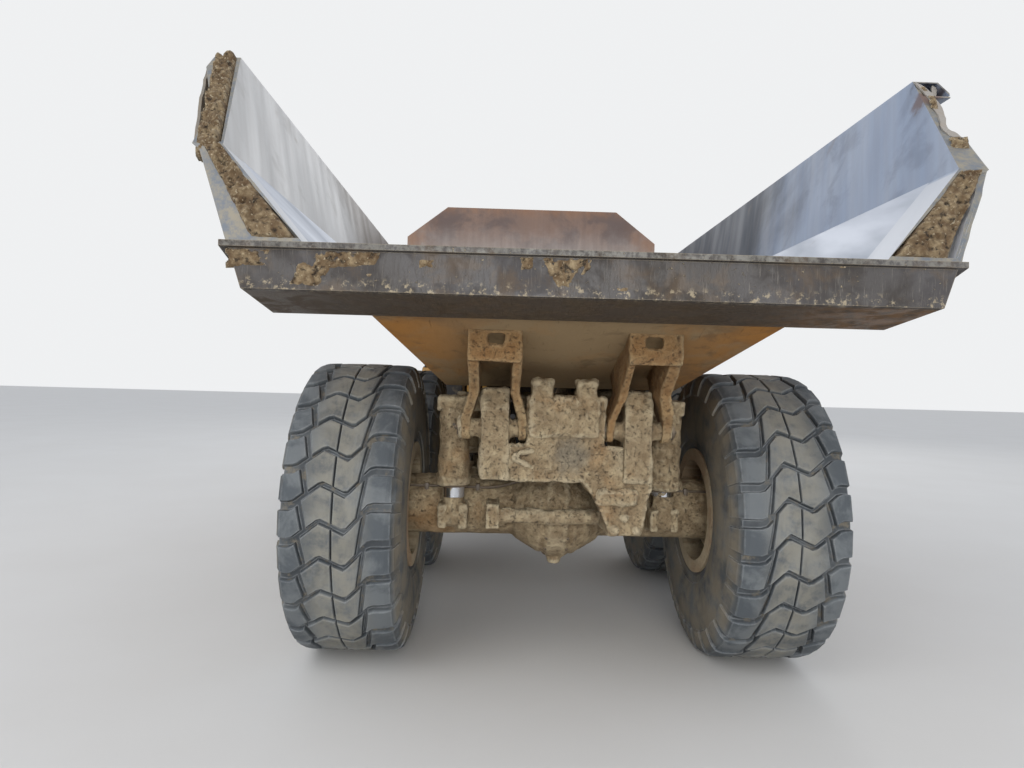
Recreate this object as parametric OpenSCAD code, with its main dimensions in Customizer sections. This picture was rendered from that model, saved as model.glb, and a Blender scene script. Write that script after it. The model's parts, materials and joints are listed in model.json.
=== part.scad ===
// Articulated dump truck, three axles, pivot steered.
// Millimetres. +X is the truck's right, +Y is forward, +Z is up.
// The origin lies on the ground below the middle of the length.

/* [Wheels and axles] */
// Outer diameter of a tyre over its lugs
tyre_d = 1620; // [1500:10:1700]
// Width of a tyre at its sidewalls
tyre_w = 600; // [520:10:640]
// Width of the tread band
tread_w = 530; // [460:10:560]
// Diameter of the rim where the tyre bead sits
bead_d = 640; // [600:5:660]
// Distance between the middles of the left and right tyres
track_w = 2200; // [2140:10:2260]
// Distance from the front axle to the middle axle
wheelbase = 4180; // [4120:10:4400]
// Distance from the middle axle to the rear axle
bogie_l = 1720; // [1700:5:1800]
// Radius of an axle's round beam
axle_r = 165; // [140:5:180]
// Radius of the bowl round a differential
bowl_r = 262; // [220:5:275]
// Radius of the spindle that a wheel turns on
spindle_r = 120; // [100:2:140]
// Radius of a wheel's hub
hub_r = 205; // [190:1:215]
// Radial play of a wheel on its spindle
spindle_play = 0.05; // [0.02:0.01:0.1]

/* [Length and pivot] */
// Distance from the front axle to the bumper's face
front_overhang = 2870; // [2800:10:3000]
// Distance from the rear axle to the tail edge of the body
rear_overhang = 1530; // [1500:5:1600]
// Distance from the steering pivot to the front axle
pivot_to_axle = 1200; // [1180:5:1240]
// Height of the swivel tube's middle line
swivel_z = 950; // [930:5:980]
// Radius of the swivel tube
swivel_r = 150; // [130:5:160]
// Radius of the steering pivot's post
post_r = 125; // [110:5:135]

/* [Frames] */
// Distance from the middle to the inner face of a rear rail
rail_in = 290; // [280:2:296]
// Width of a rear rail
rail_w = 140; // [120:2:144]
// Height of a rear rail's underside over the axles
rail_bottom = 1045; // [1030:5:1080]
// Height of a rear rail's top
rail_top = 1490; // [1450:5:1490]
// Height of the plate across the rear rails' tail ends
tail_plate_top = 1457; // [1400:1:1480]
// Height of the two towers on that plate
tower_top = 1545; // [1500:1:1560]
// Distance from the middle to the inner face of a front rail
front_rail_in = 360; // [350:5:370]
// Width of a front rail
front_rail_w = 100; // [80:5:110]
// Height of a front rail's underside
front_rail_bottom = 1085; // [1080:5:1120]
// Height of a front rail's top
front_rail_top = 1380; // [1340:5:1400]

/* [Dump body] */
// Height of the floor's top face
floor_z = 1540; // [1540:5:1580]
// Thickness of the floor plate
floor_t = 30; // [20:1:34]
// Half of the flat floor's width
floor_half = 640; // [600:5:660]
// Thickness of the side and front plates
wall_t = 20; // [12:1:30]
// Height of the fold between the lower and upper side plates
fold_z = 2404; // [2350:2:2450]
// Half of the inner width at the fold
fold_half = 1412; // [1380:2:1430]
// Height of the side walls' top
top_z = 3024; // [2950:2:3060]
// Half of the inner width at the top
top_half = 1597; // [1560:1:1600]
// Depth of the boxed edge round the walls, measured outward
box_w = 123; // [90:1:123]
// Height of the tail beam's top edge
tail_z = 2016; // [1980:2:2040]
// Half of the tail beam's width at its top
beam_half = 1341; // [1330:1:1341]
// Thickness of the lip along the tail beam's top edge
lip_t = 22; // [12:1:30]
// Distance that the lip stands proud of the tail beam
lip_proud = 14; // [8:1:20]
// Distance from the rear axle back to where the floor starts to rise
ramp_start = 200; // [100:10:320]
// Height of the guard's top edge
guard_top = 3626; // [3500:2:3700]
// Half of the guard's width
guard_half = 1488; // [1440:2:1500]
// Distance from the rear axle forward to the guard
guard_y = 4090; // [4060:5:4100]
// Distance from the rear axle forward to the foot of the front wall
foot_y = 3350; // [3300:5:3380]

/* [Tipping] */
// Distance from the rear axle back to the body's hinge
hinge_back = 550; // [520:5:580]
// Height of the body's hinge
hinge_z = 1300; // [1260:5:1340]
// Radius of the hinge pins
hinge_r = 45; // [35:1:50]
// Distance from a hinge pin's middle to the end of the ears round it
ear_r = 60; // [56:1:70]
// Thickness of the body's hinge ears on the inside of a rail
ear_w = 35; // [25:1:40]
// Gap between a rail and the hinge ears beside it
ear_gap = 10; // [6:1:12]
// Distance that the ears' feet splay from their tops
ear_splay = 40; // [20:1:45]
// Height of the arch between two hinge ears
arch_z = 1626; // [1600:2:1640]
// Width of the square hole in an arch
arch_hole = 80; // [60:1:90]
// Radial play of the hinge and cylinder pins
pin_play = 0.05; // [0.02:0.01:0.1]
// Distance from the rear axle forward to the hoist cylinders' feet
hoist_foot_y = 3700; // [3660:5:3720]
// Height of the hoist cylinders' feet
hoist_foot_z = 620; // [600:5:650]
// Distance from the rear axle forward to the hoist rods' eyes
hoist_eye_y = 1950; // [1930:5:1980]
// Height of the hoist rods' eyes
hoist_eye_z = 1360; // [1350:1:1370]
// Distance from the middle to a hoist cylinder
hoist_x = 580; // [576:1:590]
// Outer radius of a hoist barrel
hoist_r = 90; // [84:1:92]

/* [Cab and hood] */
// Distance from the steering pivot forward to the cab's rear wall
cab_back = 200; // [190:5:240]
// Length of the cab
cab_l = 1640; // [1600:10:1700]
// Half of the cab's width
cab_half = 780; // [740:5:790]
// Height of the cab's floor plate
cab_z = 1720; // [1720:5:1760]
// Height of the cab's walls above its floor
cab_h = 1640; // [1560:10:1680]
// Thickness of the cab's walls
cab_t = 45; // [30:1:60]
// Radius of the cab's upright corners
cab_corner = 85; // [70:1:90]
// Half of the hood's width
hood_half = 620; // [580:5:640]
// Height of the hood at the cab
hood_z = 2420; // [2350:5:2460]
// Height of the hood at the nose
nose_z = 2180; // [2100:5:2250]
// Distance from the bumper's face back to the hood's nose
nose_back = 150; // [150:5:190]

// Half of the bumper's width
bumper_half = 1180; // [1120:10:1190]
// Height of the bumper's underside
bumper_z = 660; // [640:5:680]
// Height of the bumper itself
bumper_h = 440; // [425:5:450]
// Distance from the middle to a headlamp
lamp_x = 640; // [600:5:700]
// Width of a headlamp
lamp_w = 200; // [160:5:220]
// Height of a headlamp's underside
lamp_z = 800; // [790:5:830]
// Height of a headlamp
lamp_h = 140; // [100:5:160]
// Distance that a mirror's arm reaches from the middle
mirror_x = 1330; // [1280:5:1380]
// Height of the lower mirror arm above the cab's floor
mirror_low = 1110; // [1080:5:1140]
// Height of the upper mirror arm above the cab's floor
mirror_high = 1420; // [1380:5:1460]
// Height of the engine block
engine_h = 700; // [600:10:720]

/* [Steering] */
// Distance from the middle to a steering cylinder's barrel pin
steer_barrel_x = 420; // [415:1:430]
// Distance from the pivot forward to the barrel pins
steer_barrel_y = 860; // [850:5:880]
// Distance from the middle to a steering rod's eye
steer_eye_x = 400; // [395:1:405]
// Distance from the pivot back to the rod eyes
steer_eye_y = 280; // [270:5:290]
// Height of the steering cylinders
steer_z = 1000; // [990:1:1005]

/* [Hidden] */
$fn = 64;

// Colours, as the weathered truck shows them
dust = [0.66, 0.58, 0.44];
rubber = [0.16, 0.17, 0.19];
steel = [0.47, 0.50, 0.54];
worn = [0.14, 0.13, 0.12];
rust = [0.42, 0.24, 0.18];
paint = [0.86, 0.60, 0.18];
chrome = [0.80, 0.80, 0.82];
dark = [0.20, 0.20, 0.21];
glass = [0.62, 0.72, 0.75];

// Stations along the truck
total_l = front_overhang + wheelbase + bogie_l + rear_overhang;
y_tail = -total_l / 2;
y_nose = total_l / 2;
y_rear = y_tail + rear_overhang;
y_mid = y_rear + bogie_l;
y_front = y_mid + wheelbase;
y_pivot = y_front - pivot_to_axle;
axle_z = tyre_d / 2;
rail_out = rail_in + rail_w;
front_rail_out = front_rail_in + front_rail_w;
moving_gap = 5;
seat_gap = 0.3;

// Rear frame stations
frame_tail = y_rear - hinge_back - 75;
bearing_front = y_pivot - 600;
bearing_back = bearing_front - 600;
bearing_r = 215;
leg_lug_x = 225;
pin_inner = rail_in - ear_gap - ear_w - ear_splay - 8;
arch_y = y_rear - hinge_back - 345;
cross_rod_y = y_rear - bowl_r - 70;

// Distance that a plate's thickness takes up across its own slope
function across(t, dx, dz) = t * sqrt(dx * dx + dz * dz) / dz;

lower_w = across(wall_t, fold_half - floor_half, fold_z - floor_z);
upper_w = across(wall_t, top_half - fold_half, top_z - fold_z);
under_z = floor_z - floor_t;

// Inner half width of the load space at height z
function inner_half(z) = z < fold_z
    ? floor_half + (z - floor_z) * (fold_half - floor_half) / (fold_z - floor_z)
    : fold_half + (z - fold_z) * (top_half - fold_half) / (top_z - fold_z);

// Rear edge of the side walls: beam top, fold and top
edge = [
    [y_tail + 4, tail_z],
    [y_tail + 139, fold_z],
    [y_tail + 752, top_z]
];
post_l = 180;
// Outer half width of the walls' ends at the same three heights
end_outer = [beam_half - 1, fold_half + box_w - 5, top_half + box_w];
lip_plate_t = 14;
pocket_depth = 45;
torn_low = fold_z + 130;
torn_high = top_z - 130;

// The ramp that lifts the floor to the tail beam
ramp_y = y_rear - ramp_start;
ramp_slope = (tail_z - floor_z) / (ramp_y - edge[0][0]);
function ramp_top(y) = floor_z + (ramp_y - y) * ramp_slope;
beam_front = y_tail + 440;
beam_fold_z = tail_z - 171;
beam_low_z = tail_z - 216;

// Front wall, seen from the side
foot = y_rear + foot_y;
wall_lean = (guard_y - 40 - foot_y) / (top_z - floor_z);
function lean_y(z) = foot + (z - floor_z) * wall_lean;

// Hoist cylinder line at rest
hoist_foot = [y_rear + hoist_foot_y, hoist_foot_z];
hoist_eye = [y_rear + hoist_eye_y, hoist_eye_z];
hoist_run = hoist_eye - hoist_foot;
hoist_l = sqrt(hoist_run[0] * hoist_run[0] + hoist_run[1] * hoist_run[1]);
hoist_a = atan2(hoist_run[1], hoist_run[0]);
hoist_pin_r = 35;
hoist_eye_r = 65;
rod_eye_r = 50;
hoist_mouth = hoist_l - 210;
stage_r = hoist_r - 15;
hoist_rod_r = stage_r - 20;

// Cab and hood stations
y_cab = y_pivot + cab_back;
y_cab_front = y_cab + cab_l;
cab_top = cab_z + cab_h;
y_hood_back = y_cab_front + 20;
y_hood_nose = y_nose - nose_back;
hood_hinge = [y_hood_nose - 100, 1235];
hood_low = 1450;
hood_t = 8;
fender_z = tyre_d + 70;
door_front = y_cab_front - 330;
door_back = y_cab + 470;
door_hinge_x = -cab_half - 22;
hinge_heights = [cab_z + 300, cab_top - 400];

// Pieces between two ends along one axis
module span(x, y, z)
    translate([x[0], y[0], z[0]]) cube([x[1] - x[0], y[1] - y[0], z[1] - z[0]]);

module rod_x(r, x, y, z)
    translate([x[0], y, z]) rotate([0, 90, 0]) cylinder(r = r, h = x[1] - x[0]);

module rod_y(r, x, y, z)
    translate([x, y[0], z]) rotate([-90, 0, 0]) cylinder(r = r, h = y[1] - y[0]);

module rod_z(r, x, y, z)
    translate([x, y, z[0]]) cylinder(r = r, h = z[1] - z[0]);

// Plate drawn in the side view (y, z) and as wide as x says
module plate_x(points, x)
    translate([x[0], 0, 0]) rotate([90, 0, 90])
        linear_extrude(x[1] - x[0]) polygon(points);

// Plate drawn in the end view (x, z) and as long as y says
module plate_y(points, y)
    translate([0, y[1], 0]) rotate([90, 0, 0])
        linear_extrude(y[1] - y[0]) polygon(points);

// Points of an arc round a middle, from one angle to another
function arc(middle, r, a, b, steps = 8) = [for (i = [0:steps])
    middle + r * [cos(a + (b - a) * i / steps), sin(a + (b - a) * i / steps)]];

// Upright block with rounded corners
module rounded_block(x, y, z, r) {
    span(x, [y[0] + r, y[1] - r], z);
    span([x[0] + r, x[1] - r], y, z);
    for (a = [x[0] + r, x[1] - r], b = [y[0] + r, y[1] - r])
        rod_z(r, a, b, z);
}

module both() {
    children();
    mirror([1, 0, 0]) children();
}

// Right half of an outline, closed by its own mirror image
function doubled(half) = concat(half,
    [for (i = [len(half) - 1:-1:0]) [-half[i][0], half[i][1]]]);

// Rails of the rear frame with the body's hinge pins and the hoist's feet
module rear_rails() color(dust) both() {
    nose = bearing_front;
    plate_x([
        [frame_tail, rail_bottom], [nose - 720, rail_bottom],
        [nose - 560, swivel_z - 230], [nose, swivel_z - 230],
        [nose, swivel_z + 300], [nose - 700, rail_top],
        [frame_tail + 60, rail_top], [frame_tail, rail_top - 90]
    ], [rail_in, rail_out]);
    hinge_pin();
    hoist_foot_bracket();
}

// What joins the rear rails: cross members, tail plate, leg and swivel bearing
module rear_frame() color(dust) difference() {
    union() {
        tail_plate();
        rear_cross_members();
    }
    rod_y(swivel_r + pin_play, 0, [bearing_back - 40, bearing_front + 1], swivel_z);
}

// Plate across the rails' tail ends, its top cut to two towers
module tail_plate() {
    side = pin_inner - moving_gap;
    low_top = hinge_z - ear_r - moving_gap - 20;
    plate_y([
        [-rail_in, rail_bottom], [rail_in, rail_bottom], [rail_in, low_top],
        [side, low_top], [side, tail_plate_top], [144, tail_plate_top],
        [144, tower_top], [48, tower_top], [48, tail_plate_top],
        [-78, tail_plate_top], [-78, tower_top], [-168, tower_top],
        [-168, tail_plate_top], [-side, tail_plate_top], [-side, low_top],
        [-rail_in, low_top]
    ], [frame_tail + 25, frame_tail + 55]);
}

// Back, front, bottom and top of each member between the rails
module rear_cross_members() {
    members = [
        [y_rear + 430, y_rear + 460, 1120, 1440],
        [y_mid - 460, y_mid - 430, 1120, 1440],
        [y_mid + 430, y_mid + 460, 1120, 1440]
    ];
    for (m = members)
        span([-rail_in, rail_in], [m[0], m[1]], [m[2], m[3]]);
    // Swivel bearing and the two plates that hold it
    rod_y(bearing_r, 0, [bearing_back, bearing_front], swivel_z);
    for (y = [bearing_back + 20, bearing_front - 50])
        span([-rail_in, rail_in], [y, y + 30], [swivel_z - 230, swivel_z + 290]);
    // Leg on the right that holds the cross rod of the rear axle
    plate_y([
        [90, rail_bottom], [430, rail_bottom], [430, 1000],
        [385, 777], [230, 777], [205, 850], [150, 960]
    ], [frame_tail + 25, frame_tail + 165]);
    span([leg_lug_x, leg_lug_x + 60], [frame_tail + 165, cross_rod_y + 45],
        [axle_z - 33, axle_z + 35]);
}

module hinge_pin() {
    y = y_rear - hinge_back;
    rod_x(hinge_r, [pin_inner, rail_in], y, hinge_z);
    rod_x(hinge_r, [rail_out, rail_out + ear_gap + ear_w + 15 + ear_splay + 8], y, hinge_z);
}

module hoist_foot_bracket() {
    y = hoist_foot[0];
    z = hoist_foot[1];
    ear = [[y - 55, z - 55], [y + 150, z - 55], [y + 290, z + 60],
        [y + 290, z + 200], [y + 150, z + 200], [y + 60, z + 80], [y - 55, z + 55]];
    for (x = [hoist_x - 80, hoist_x + 55]) difference() {
        plate_x(ear, [x, x + 25]);
        rod_x(hoist_pin_r + pin_play, [x - 1, x + 26], y, z);
    }
    span([rail_out, hoist_x + 80], [y + 150, y + 290], [z + 200, z + 240]);
    rod_x(hoist_pin_r, [hoist_x - 80, hoist_x + 80], y, z);
}

// Half of the width of the flange round an axle's bowl
bowl_rim = 55;

// Axle: bowl, round beam, flanges and the spindles that the wheels turn on
module axle(y, pinion) color(dust) translate([0, y, axle_z]) {
    flange = track_w / 2 - 165;
    rod_x(axle_r, [-flange + 30, flange - 30], 0, 0);
    // Bowl, drawn as radius over width
    rotate([0, 90, 0]) rotate_extrude() polygon([
        [0, -bowl_r], [120, -bowl_r], [185, -bowl_r + 30], [bowl_r, -100],
        [bowl_r, -bowl_rim], [bowl_r + 21, -bowl_rim], [bowl_r + 21, bowl_rim],
        [bowl_r, bowl_rim], [bowl_r, 100], [185, bowl_r - 30], [120, bowl_r], [0, bowl_r]
    ]);
    rod_z(32, 0, -pinion * 60, [-bowl_r - 47, -bowl_r + 60]);
    rod_y(150, 0, pinion > 0 ? [0, 318] : [-318, 0], 0);
    rod_y(120, 0, pinion > 0 ? [0, 345] : [-345, 0], 0);
    both() {
        rod_x(220, [flange - 30, flange], 0, 0);
        rod_x(spindle_r, [flange, track_w / 2 + 90], 0, 0);
    }
}

module axle_front() axle(y_front, -1);
module axle_mid() axle(y_mid, 1);
module axle_rear() axle(y_rear, 1);

// Upright cylinders between the axles and the frame
module rear_suspension() color(dust)
    for (y = [y_rear - 250, y_mid - 250]) both() upright_cylinder(y);

module upright_cylinder(y) translate([hoist_x, y, 0]) {
    rod_z(82, 0, 0, [967, 1372]);
    rod_z(92, 0, 0, [967, 1005]);
    rod_z(50, 0, 0, [790, 967]);
    rod_x(55, [-40, 40], 0, 790);
    // Ears on the axle and the arm on the rail
    for (x = [-75, 40]) difference() {
        plate_x([[-55, 735], [30, 735], [140, 700], [140, 870], [55, 850],
            [-55, 850]], [x, x + 35]);
        rod_x(axle_r + seat_gap, [x - 1, x + 36], 250, axle_z);
    }
    span([rail_out - hoist_x, 90], [-70, 70], [1372, 1440]);
}

// Rods that guide the rear axles
module suspension_links() color(dust) {
    for (y = [y_rear, y_mid]) both() difference() {
        union() {
            rod_y(38, 360, [y + 175, y + 640], axle_z - 60);
            span([320, 400], [y + 150, y + 220], [axle_z - 110, axle_z + 30]);
            span([320, 400], [y + 600, y + 660], [axle_z - 110, rail_bottom]);
        }
        rod_x(axle_r + seat_gap, [300, 420], y, axle_z);
    }
    // Cross rod from the axle's left side to the leg of the frame
    rod_x(35, [-380, leg_lug_x], cross_rod_y, axle_z);
    difference() {
        span([-390, -330], [cross_rod_y - 40, y_rear - 130], [axle_z - 60, axle_z + 60]);
        rod_x(axle_r + seat_gap, [-400, -320], y_rear, axle_z);
    }
}

// Shafts along the middle line
module driveshafts() color(dust) {
    rod_y(60, 0, [y_rear + 345, y_mid - bowl_r - 22], axle_z);
    for (y = [y_rear + 345, y_mid - bowl_r - 71])
        rod_y(95, 0, [y, y + 50 - seat_gap], axle_z);
    rod_y(60, 0, [y_mid + 395, bearing_back - 120], axle_z);
    rod_y(95, 0, [y_mid + 345, y_mid + 395], axle_z);
}

// Hitch: swivel tube, pivot post and the two steering arms
module hitch() color(dust) {
    rod_y(swivel_r, 0, [bearing_back - 20, y_pivot - 90], swivel_z);
    rod_y(195, 0, [bearing_front + moving_gap, bearing_front + 55], swivel_z);
    difference() {
        rod_z(post_r + 20, 0, y_pivot, [swivel_z - 235, swivel_z + 245]);
        rod_z(60 + pin_play, 0, y_pivot, [swivel_z - 240, swivel_z + 250]);
    }
    y = y_pivot - steer_eye_y;
    both() for (z = [steer_z - 75, steer_z + 45]) difference() {
        translate([0, 0, z]) linear_extrude(30) polygon([
            [0, y_pivot - 120], [0, y - 60], [steer_eye_x + 20, y - 55],
            [steer_eye_x + 55, y - 20], [steer_eye_x + 55, y + 20],
            [steer_eye_x + 20, y + 55], [steer_eye_x - 160, y + 90],
            [110, y_pivot - 120]
        ]);
        rod_z(30 + pin_play, steer_eye_x, y, [z - 1, z + 31]);
    }
    both() span([0, steer_eye_x - 170], [y - 55, y + 80],
        [steer_z - 45, steer_z + 45]);
}

// What joins the front rails: pivot plates, their box and cross members
module front_frame() color(dust) {
    low = swivel_z - 290;
    high = swivel_z + 250;
    for (z = [low, high]) difference() {
        translate([0, 0, z]) linear_extrude(50) polygon(doubled([
            [0, y_pivot - 160], [90, y_pivot - 140], [155, y_pivot - 60],
            [185, y_pivot + 160], [185, y_pivot + 760]
        ]));
        rod_z(60 + pin_play, 0, y_pivot, [z - 1, z + 51]);
    }
    rod_z(60, 0, y_pivot, [low - 10, high + 60]);
    both() span([155, 185], [y_pivot + 250, y_pivot + 760], [low + 50, high]);
    span([-front_rail_in, front_rail_in], [y_pivot + 640, y_pivot + 760],
        [high + 50, front_rail_top - 20]);
    // Cross members ahead of the axle
    for (y = [y_front + 320, y_front + 1300, y_nose - 260])
        span([-front_rail_in, front_rail_in], [y, y + 40],
            [front_rail_bottom, front_rail_top - 60]);
}

// Rails of the front frame with the hood's pins and the steering cylinders' ears
module front_rails() color(dust) both() {
    // The hood's nose swings round the hinge, so the rails step down ahead of it
    y = hood_hinge[0];
    z = hood_hinge[1];
    plate_x([
        [y_pivot + 300, front_rail_bottom], [y_nose - 160, front_rail_bottom],
        [y_nose - 160, z - 60], [y + 50, z - 60], [y + 50, z + 40], [y + 35, z + 40],
        [y + 35, front_rail_top], [y_pivot + 300, front_rail_top]
    ], [front_rail_in, front_rail_out]);
    rod_x(22, [front_rail_out, 525], hood_hinge[0], hood_hinge[1]);
    steering_ears();
}

module steering_ears() {
    y = y_pivot + steer_barrel_y;
    span([steer_barrel_x - 60, steer_barrel_x + 60], [y - 60, y + 110],
        [steer_z + 50, front_rail_bottom]);
    span([steer_barrel_x - 60, steer_barrel_x + 60], [y - 60, y + 110],
        [steer_z - 80, steer_z - 50]);
    span([steer_barrel_x - 60, steer_barrel_x + 60], [y + 80, y + 110],
        [steer_z - 50, steer_z + 50]);
    rod_z(30, steer_barrel_x, y, [steer_z - 50, steer_z + 50]);
}

module front_suspension() color(dust) both() {
    y = y_front;
    translate([660, y, 0]) {
        rod_z(75, 0, 0, [1030, 1420]);
        rod_z(45, 0, 0, [axle_z + axle_r + seat_gap, 1030]);
    }
    span([front_rail_out, 740], [y - 80, y + 80], [1420, 1490]);
    span([front_rail_out, front_rail_out + 30], [y - 80, y + 80],
        [front_rail_bottom, 1420]);
}

// Power train blocks
module engine() color(dark)
    span([-front_rail_in - 40, front_rail_in + 40],
        [y_cab_front + 90 + moving_gap, y_cab_front + 1330],
        [front_rail_top + seat_gap, front_rail_top + engine_h]);

module gearbox() color(dark) {
    span([-300, 300], [y_front + 420, y_cab_front + 90],
        [front_rail_top + seat_gap, 1650]);
    span([-170, 170], [y_front + 450, y_front + 640], [700, front_rail_top]);
    rod_y(55, 0, [y_front + bowl_r + 21 + seat_gap, y_front + 450], axle_z);
    both() span([300, front_rail_in + 40], [y_front + 480, y_front + 560],
        [front_rail_top + seat_gap, front_rail_top + 40]);
}

module radiator() color(dark)
    span([-560, 560], [y_hood_nose - 330, y_hood_nose - 210],
        [front_rail_top + seat_gap, 2040]);

module bumper() color(paint) {
    difference() {
        intersection() {
            translate([0, 0, bumper_z]) linear_extrude(bumper_h) polygon(doubled(concat(
                [[0, y_nose]],
                arc([bumper_half - 220, y_nose - 220], 220, 90, 0, 6),
                [[bumper_half, y_nose - 420], [bumper_half - 30, y_nose - 420],
                    [bumper_half - 30, y_nose - 160], [0, y_nose - 160]])));
            // The lower front edge is cut back
            plate_x([[y_nose - 500, bumper_z], [y_nose - 70, bumper_z],
                [y_nose, bumper_z + 110], [y_nose, bumper_z + bumper_h - 40],
                [y_nose - 40, bumper_z + bumper_h], [y_nose - 500, bumper_z + bumper_h]],
                [-bumper_half, bumper_half]);
        }
        both() span([lamp_x, lamp_x + lamp_w], [y_nose - 60, y_nose + 1],
            [lamp_z, lamp_z + lamp_h]);
        // Slot that lets air through to the coolers
        for (x = [-440, -140, 160])
            span([x, x + 280], [y_nose - 161, y_nose + 1],
                [bumper_z + bumper_h - 130, bumper_z + bumper_h - 80]);
    }
    both() difference() {
        union() {
            plate_x([[y_nose - 200, bumper_z - 50], [y_nose - 60, bumper_z - 50],
                [y_nose - 60, bumper_z], [y_nose - 200, bumper_z]], [330, 370]);
            rod_x(50, [330, 370], y_nose - 60, bumper_z - 50);
            span([330, 370], [y_nose - 110, y_nose - 75], [bumper_z - 50, bumper_z]);
        }
        rod_x(28, [329, 371], y_nose - 60, bumper_z - 50);
    }
}

// Arches over the front tyres
module fenders() color(paint) both() {
    inner = cab_half + 10;
    outer = track_w / 2 + tyre_w / 2;
    r = 330;
    middle = [y_front + 700, fender_z + 30 - r];
    plate_x(concat(
        [[y_front - 740, fender_z - 60], [y_front - 640, fender_z]],
        arc(middle, r - 30, 90, 10), arc(middle, r, 10, 90),
        [[y_front - 650, fender_z + 30], [y_front - 760, fender_z - 40]]
    ), [inner, outer]);
    // Turned down outer edge
    plate_x(concat(
        [[y_front - 700, fender_z - 38], [y_front - 640, fender_z - 70]],
        arc(middle, r - 100, 90, 20), arc(middle, r - 30, 20, 90),
        [[y_front - 640, fender_z]]
    ), [outer - 16, outer]);
    span([front_rail_out, inner], [y_front + 560, y_front + 640],
        [front_rail_top - 60, front_rail_top]);
    span([inner - 40, inner], [y_front + 560, y_front + 640],
        [front_rail_top, fender_z + 30]);
}

// Steps up to the fender decks
module steps() color(paint) both() {
    y = y_front + 1060;
    // height of each tread above the ground
    treads = [620, 940, 1260];
    for (x = [hood_half + 240, track_w / 2 + tyre_w / 2 - 30]) difference() {
        plate_x([[y + 60, treads[0] - 60], [y + 260, treads[0] - 60],
            [y + 260, fender_z - 80], [y, fender_z - 80], [y, treads[1]],
            [y + 30, treads[0] + 40]], [x, x + 20]);
        // Lightening holes between the treads
        for (z = treads)
            rod_x(60, [x - 1, x + 21], y + 140, z + 170);
    }
    for (z = treads)
        span([hood_half + 260, track_w / 2 + tyre_w / 2 - 30], [y, y + 260],
            [z, z + 25]);
    span([hood_half + 240, track_w / 2 + tyre_w / 2 - 10], [y - 30, y + 260],
        [fender_z - 80, fender_z - 50]);
    span([front_rail_out, hood_half + 240], [y + 80, y + 160],
        [front_rail_bottom + 60, front_rail_bottom + 140]);
}

rail_h = 620;
bend_r = 60;

// Handrails behind and ahead of where the door swings
module handrails() color(dark) both() {
    x = track_w / 2 + tyre_w / 2 - 40;
    z = fender_z + 30;
    loops = [[y_front - 620, door_back + 70], [door_front + 150, y_front + 740]];
    for (ends = loops) {
        for (y = ends) {
            rod_z(18, x, y, [z + seat_gap, z + rail_h - bend_r]);
            rod_z(34, x, y, [z + seat_gap, z + 14]);
        }
        rod_y(14, x, [ends[0], ends[1]], z + rail_h / 2);
        rod_y(18, x, [ends[0] + bend_r, ends[1] - bend_r], z + rail_h);
        // Bent corners
        for (c = [[ends[0] + bend_r, 90], [ends[1] - bend_r, 0]])
            translate([x, c[0], z + rail_h - bend_r]) rotate([90, 0, 90])
                rotate([0, 0, c[1]]) rotate_extrude(angle = 90)
                    translate([bend_r, 0]) circle(r = 18, $fn = 24);
    }
}

// Cab: floor, four walls with their windows, and the door's opening
module cab_shell() color(paint) difference() {
    union() {
        rounded_block([-cab_half, cab_half], [y_cab, y_cab_front], [cab_z, cab_top],
            cab_corner);
        door_hinge_pins();
    }
    rounded_block([-cab_half + cab_t, cab_half - cab_t],
        [y_cab + cab_t, y_cab_front - cab_t], [cab_z + cab_t, cab_top + 1],
        cab_corner - cab_t + 5);
    cab_windows(cab_t + 2);
    span([-cab_half - 1, -cab_half + cab_t + 1], [door_back, door_front],
        [cab_z + cab_t, cab_top - 90]);
}

// Blocks that carry the cab on the rails
module cab_mounts() color(dark) both()
    for (y = [y_cab + 150, y_cab_front - 450])
        span([front_rail_in + 10, front_rail_out - 10], [y, y + 100],
            [front_rail_top + seat_gap, cab_z]);

// Pins that the door hangs on, each on a small lug of the front pillar
module door_hinge_pins() for (z = hinge_heights) {
    rod_z(12, door_hinge_x, door_front + 12, [z - 40, z + 40]);
    for (h = [z - 40, z + 28])
        span([door_hinge_x - 12, -cab_half], [door_front, door_front + 40],
            [h, h + 12]);
}

// Openings of the fixed panes, cut as deep as depth says
module cab_windows(depth) {
    low = cab_z + 620;
    high = cab_top - 110;
    for (y = [y_cab - 1, y_cab_front + 1 - depth])
        span([-cab_half + 110, cab_half - 110], [y, y + depth], [low, high]);
    span([cab_half + 1 - depth, cab_half + 1],
        [y_cab + 120, y_cab_front - 120], [low, high]);
    span([-cab_half - 1, -cab_half - 1 + depth],
        [y_cab + 110, door_back - 70], [low, high]);
    span([-cab_half - 1, -cab_half - 1 + depth],
        [door_front + 70, y_cab_front - 125], [low, high]);
}

// Roof with a peak over the windscreen, crowned by three stacked outlines
module cab_roof() color(paint) {
    // inset from the outline, height of the layer above the cab's top
    layers = [[0, 0, 45], [18, 45, 75], [48, 75, 95]];
    for (l = layers)
        translate([0, 0, cab_top + l[1]]) linear_extrude(l[2] - l[1]) polygon(doubled(concat(
            [[0, y_cab - 20 + l[0]]],
            arc([cab_half - 80, y_cab + 80], 100 - l[0], -90, 0),
            arc([cab_half - 100, y_cab_front + 20], 120 - l[0], 0, 90),
            [[0, y_cab_front + 140 - l[0]]])));
}

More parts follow.
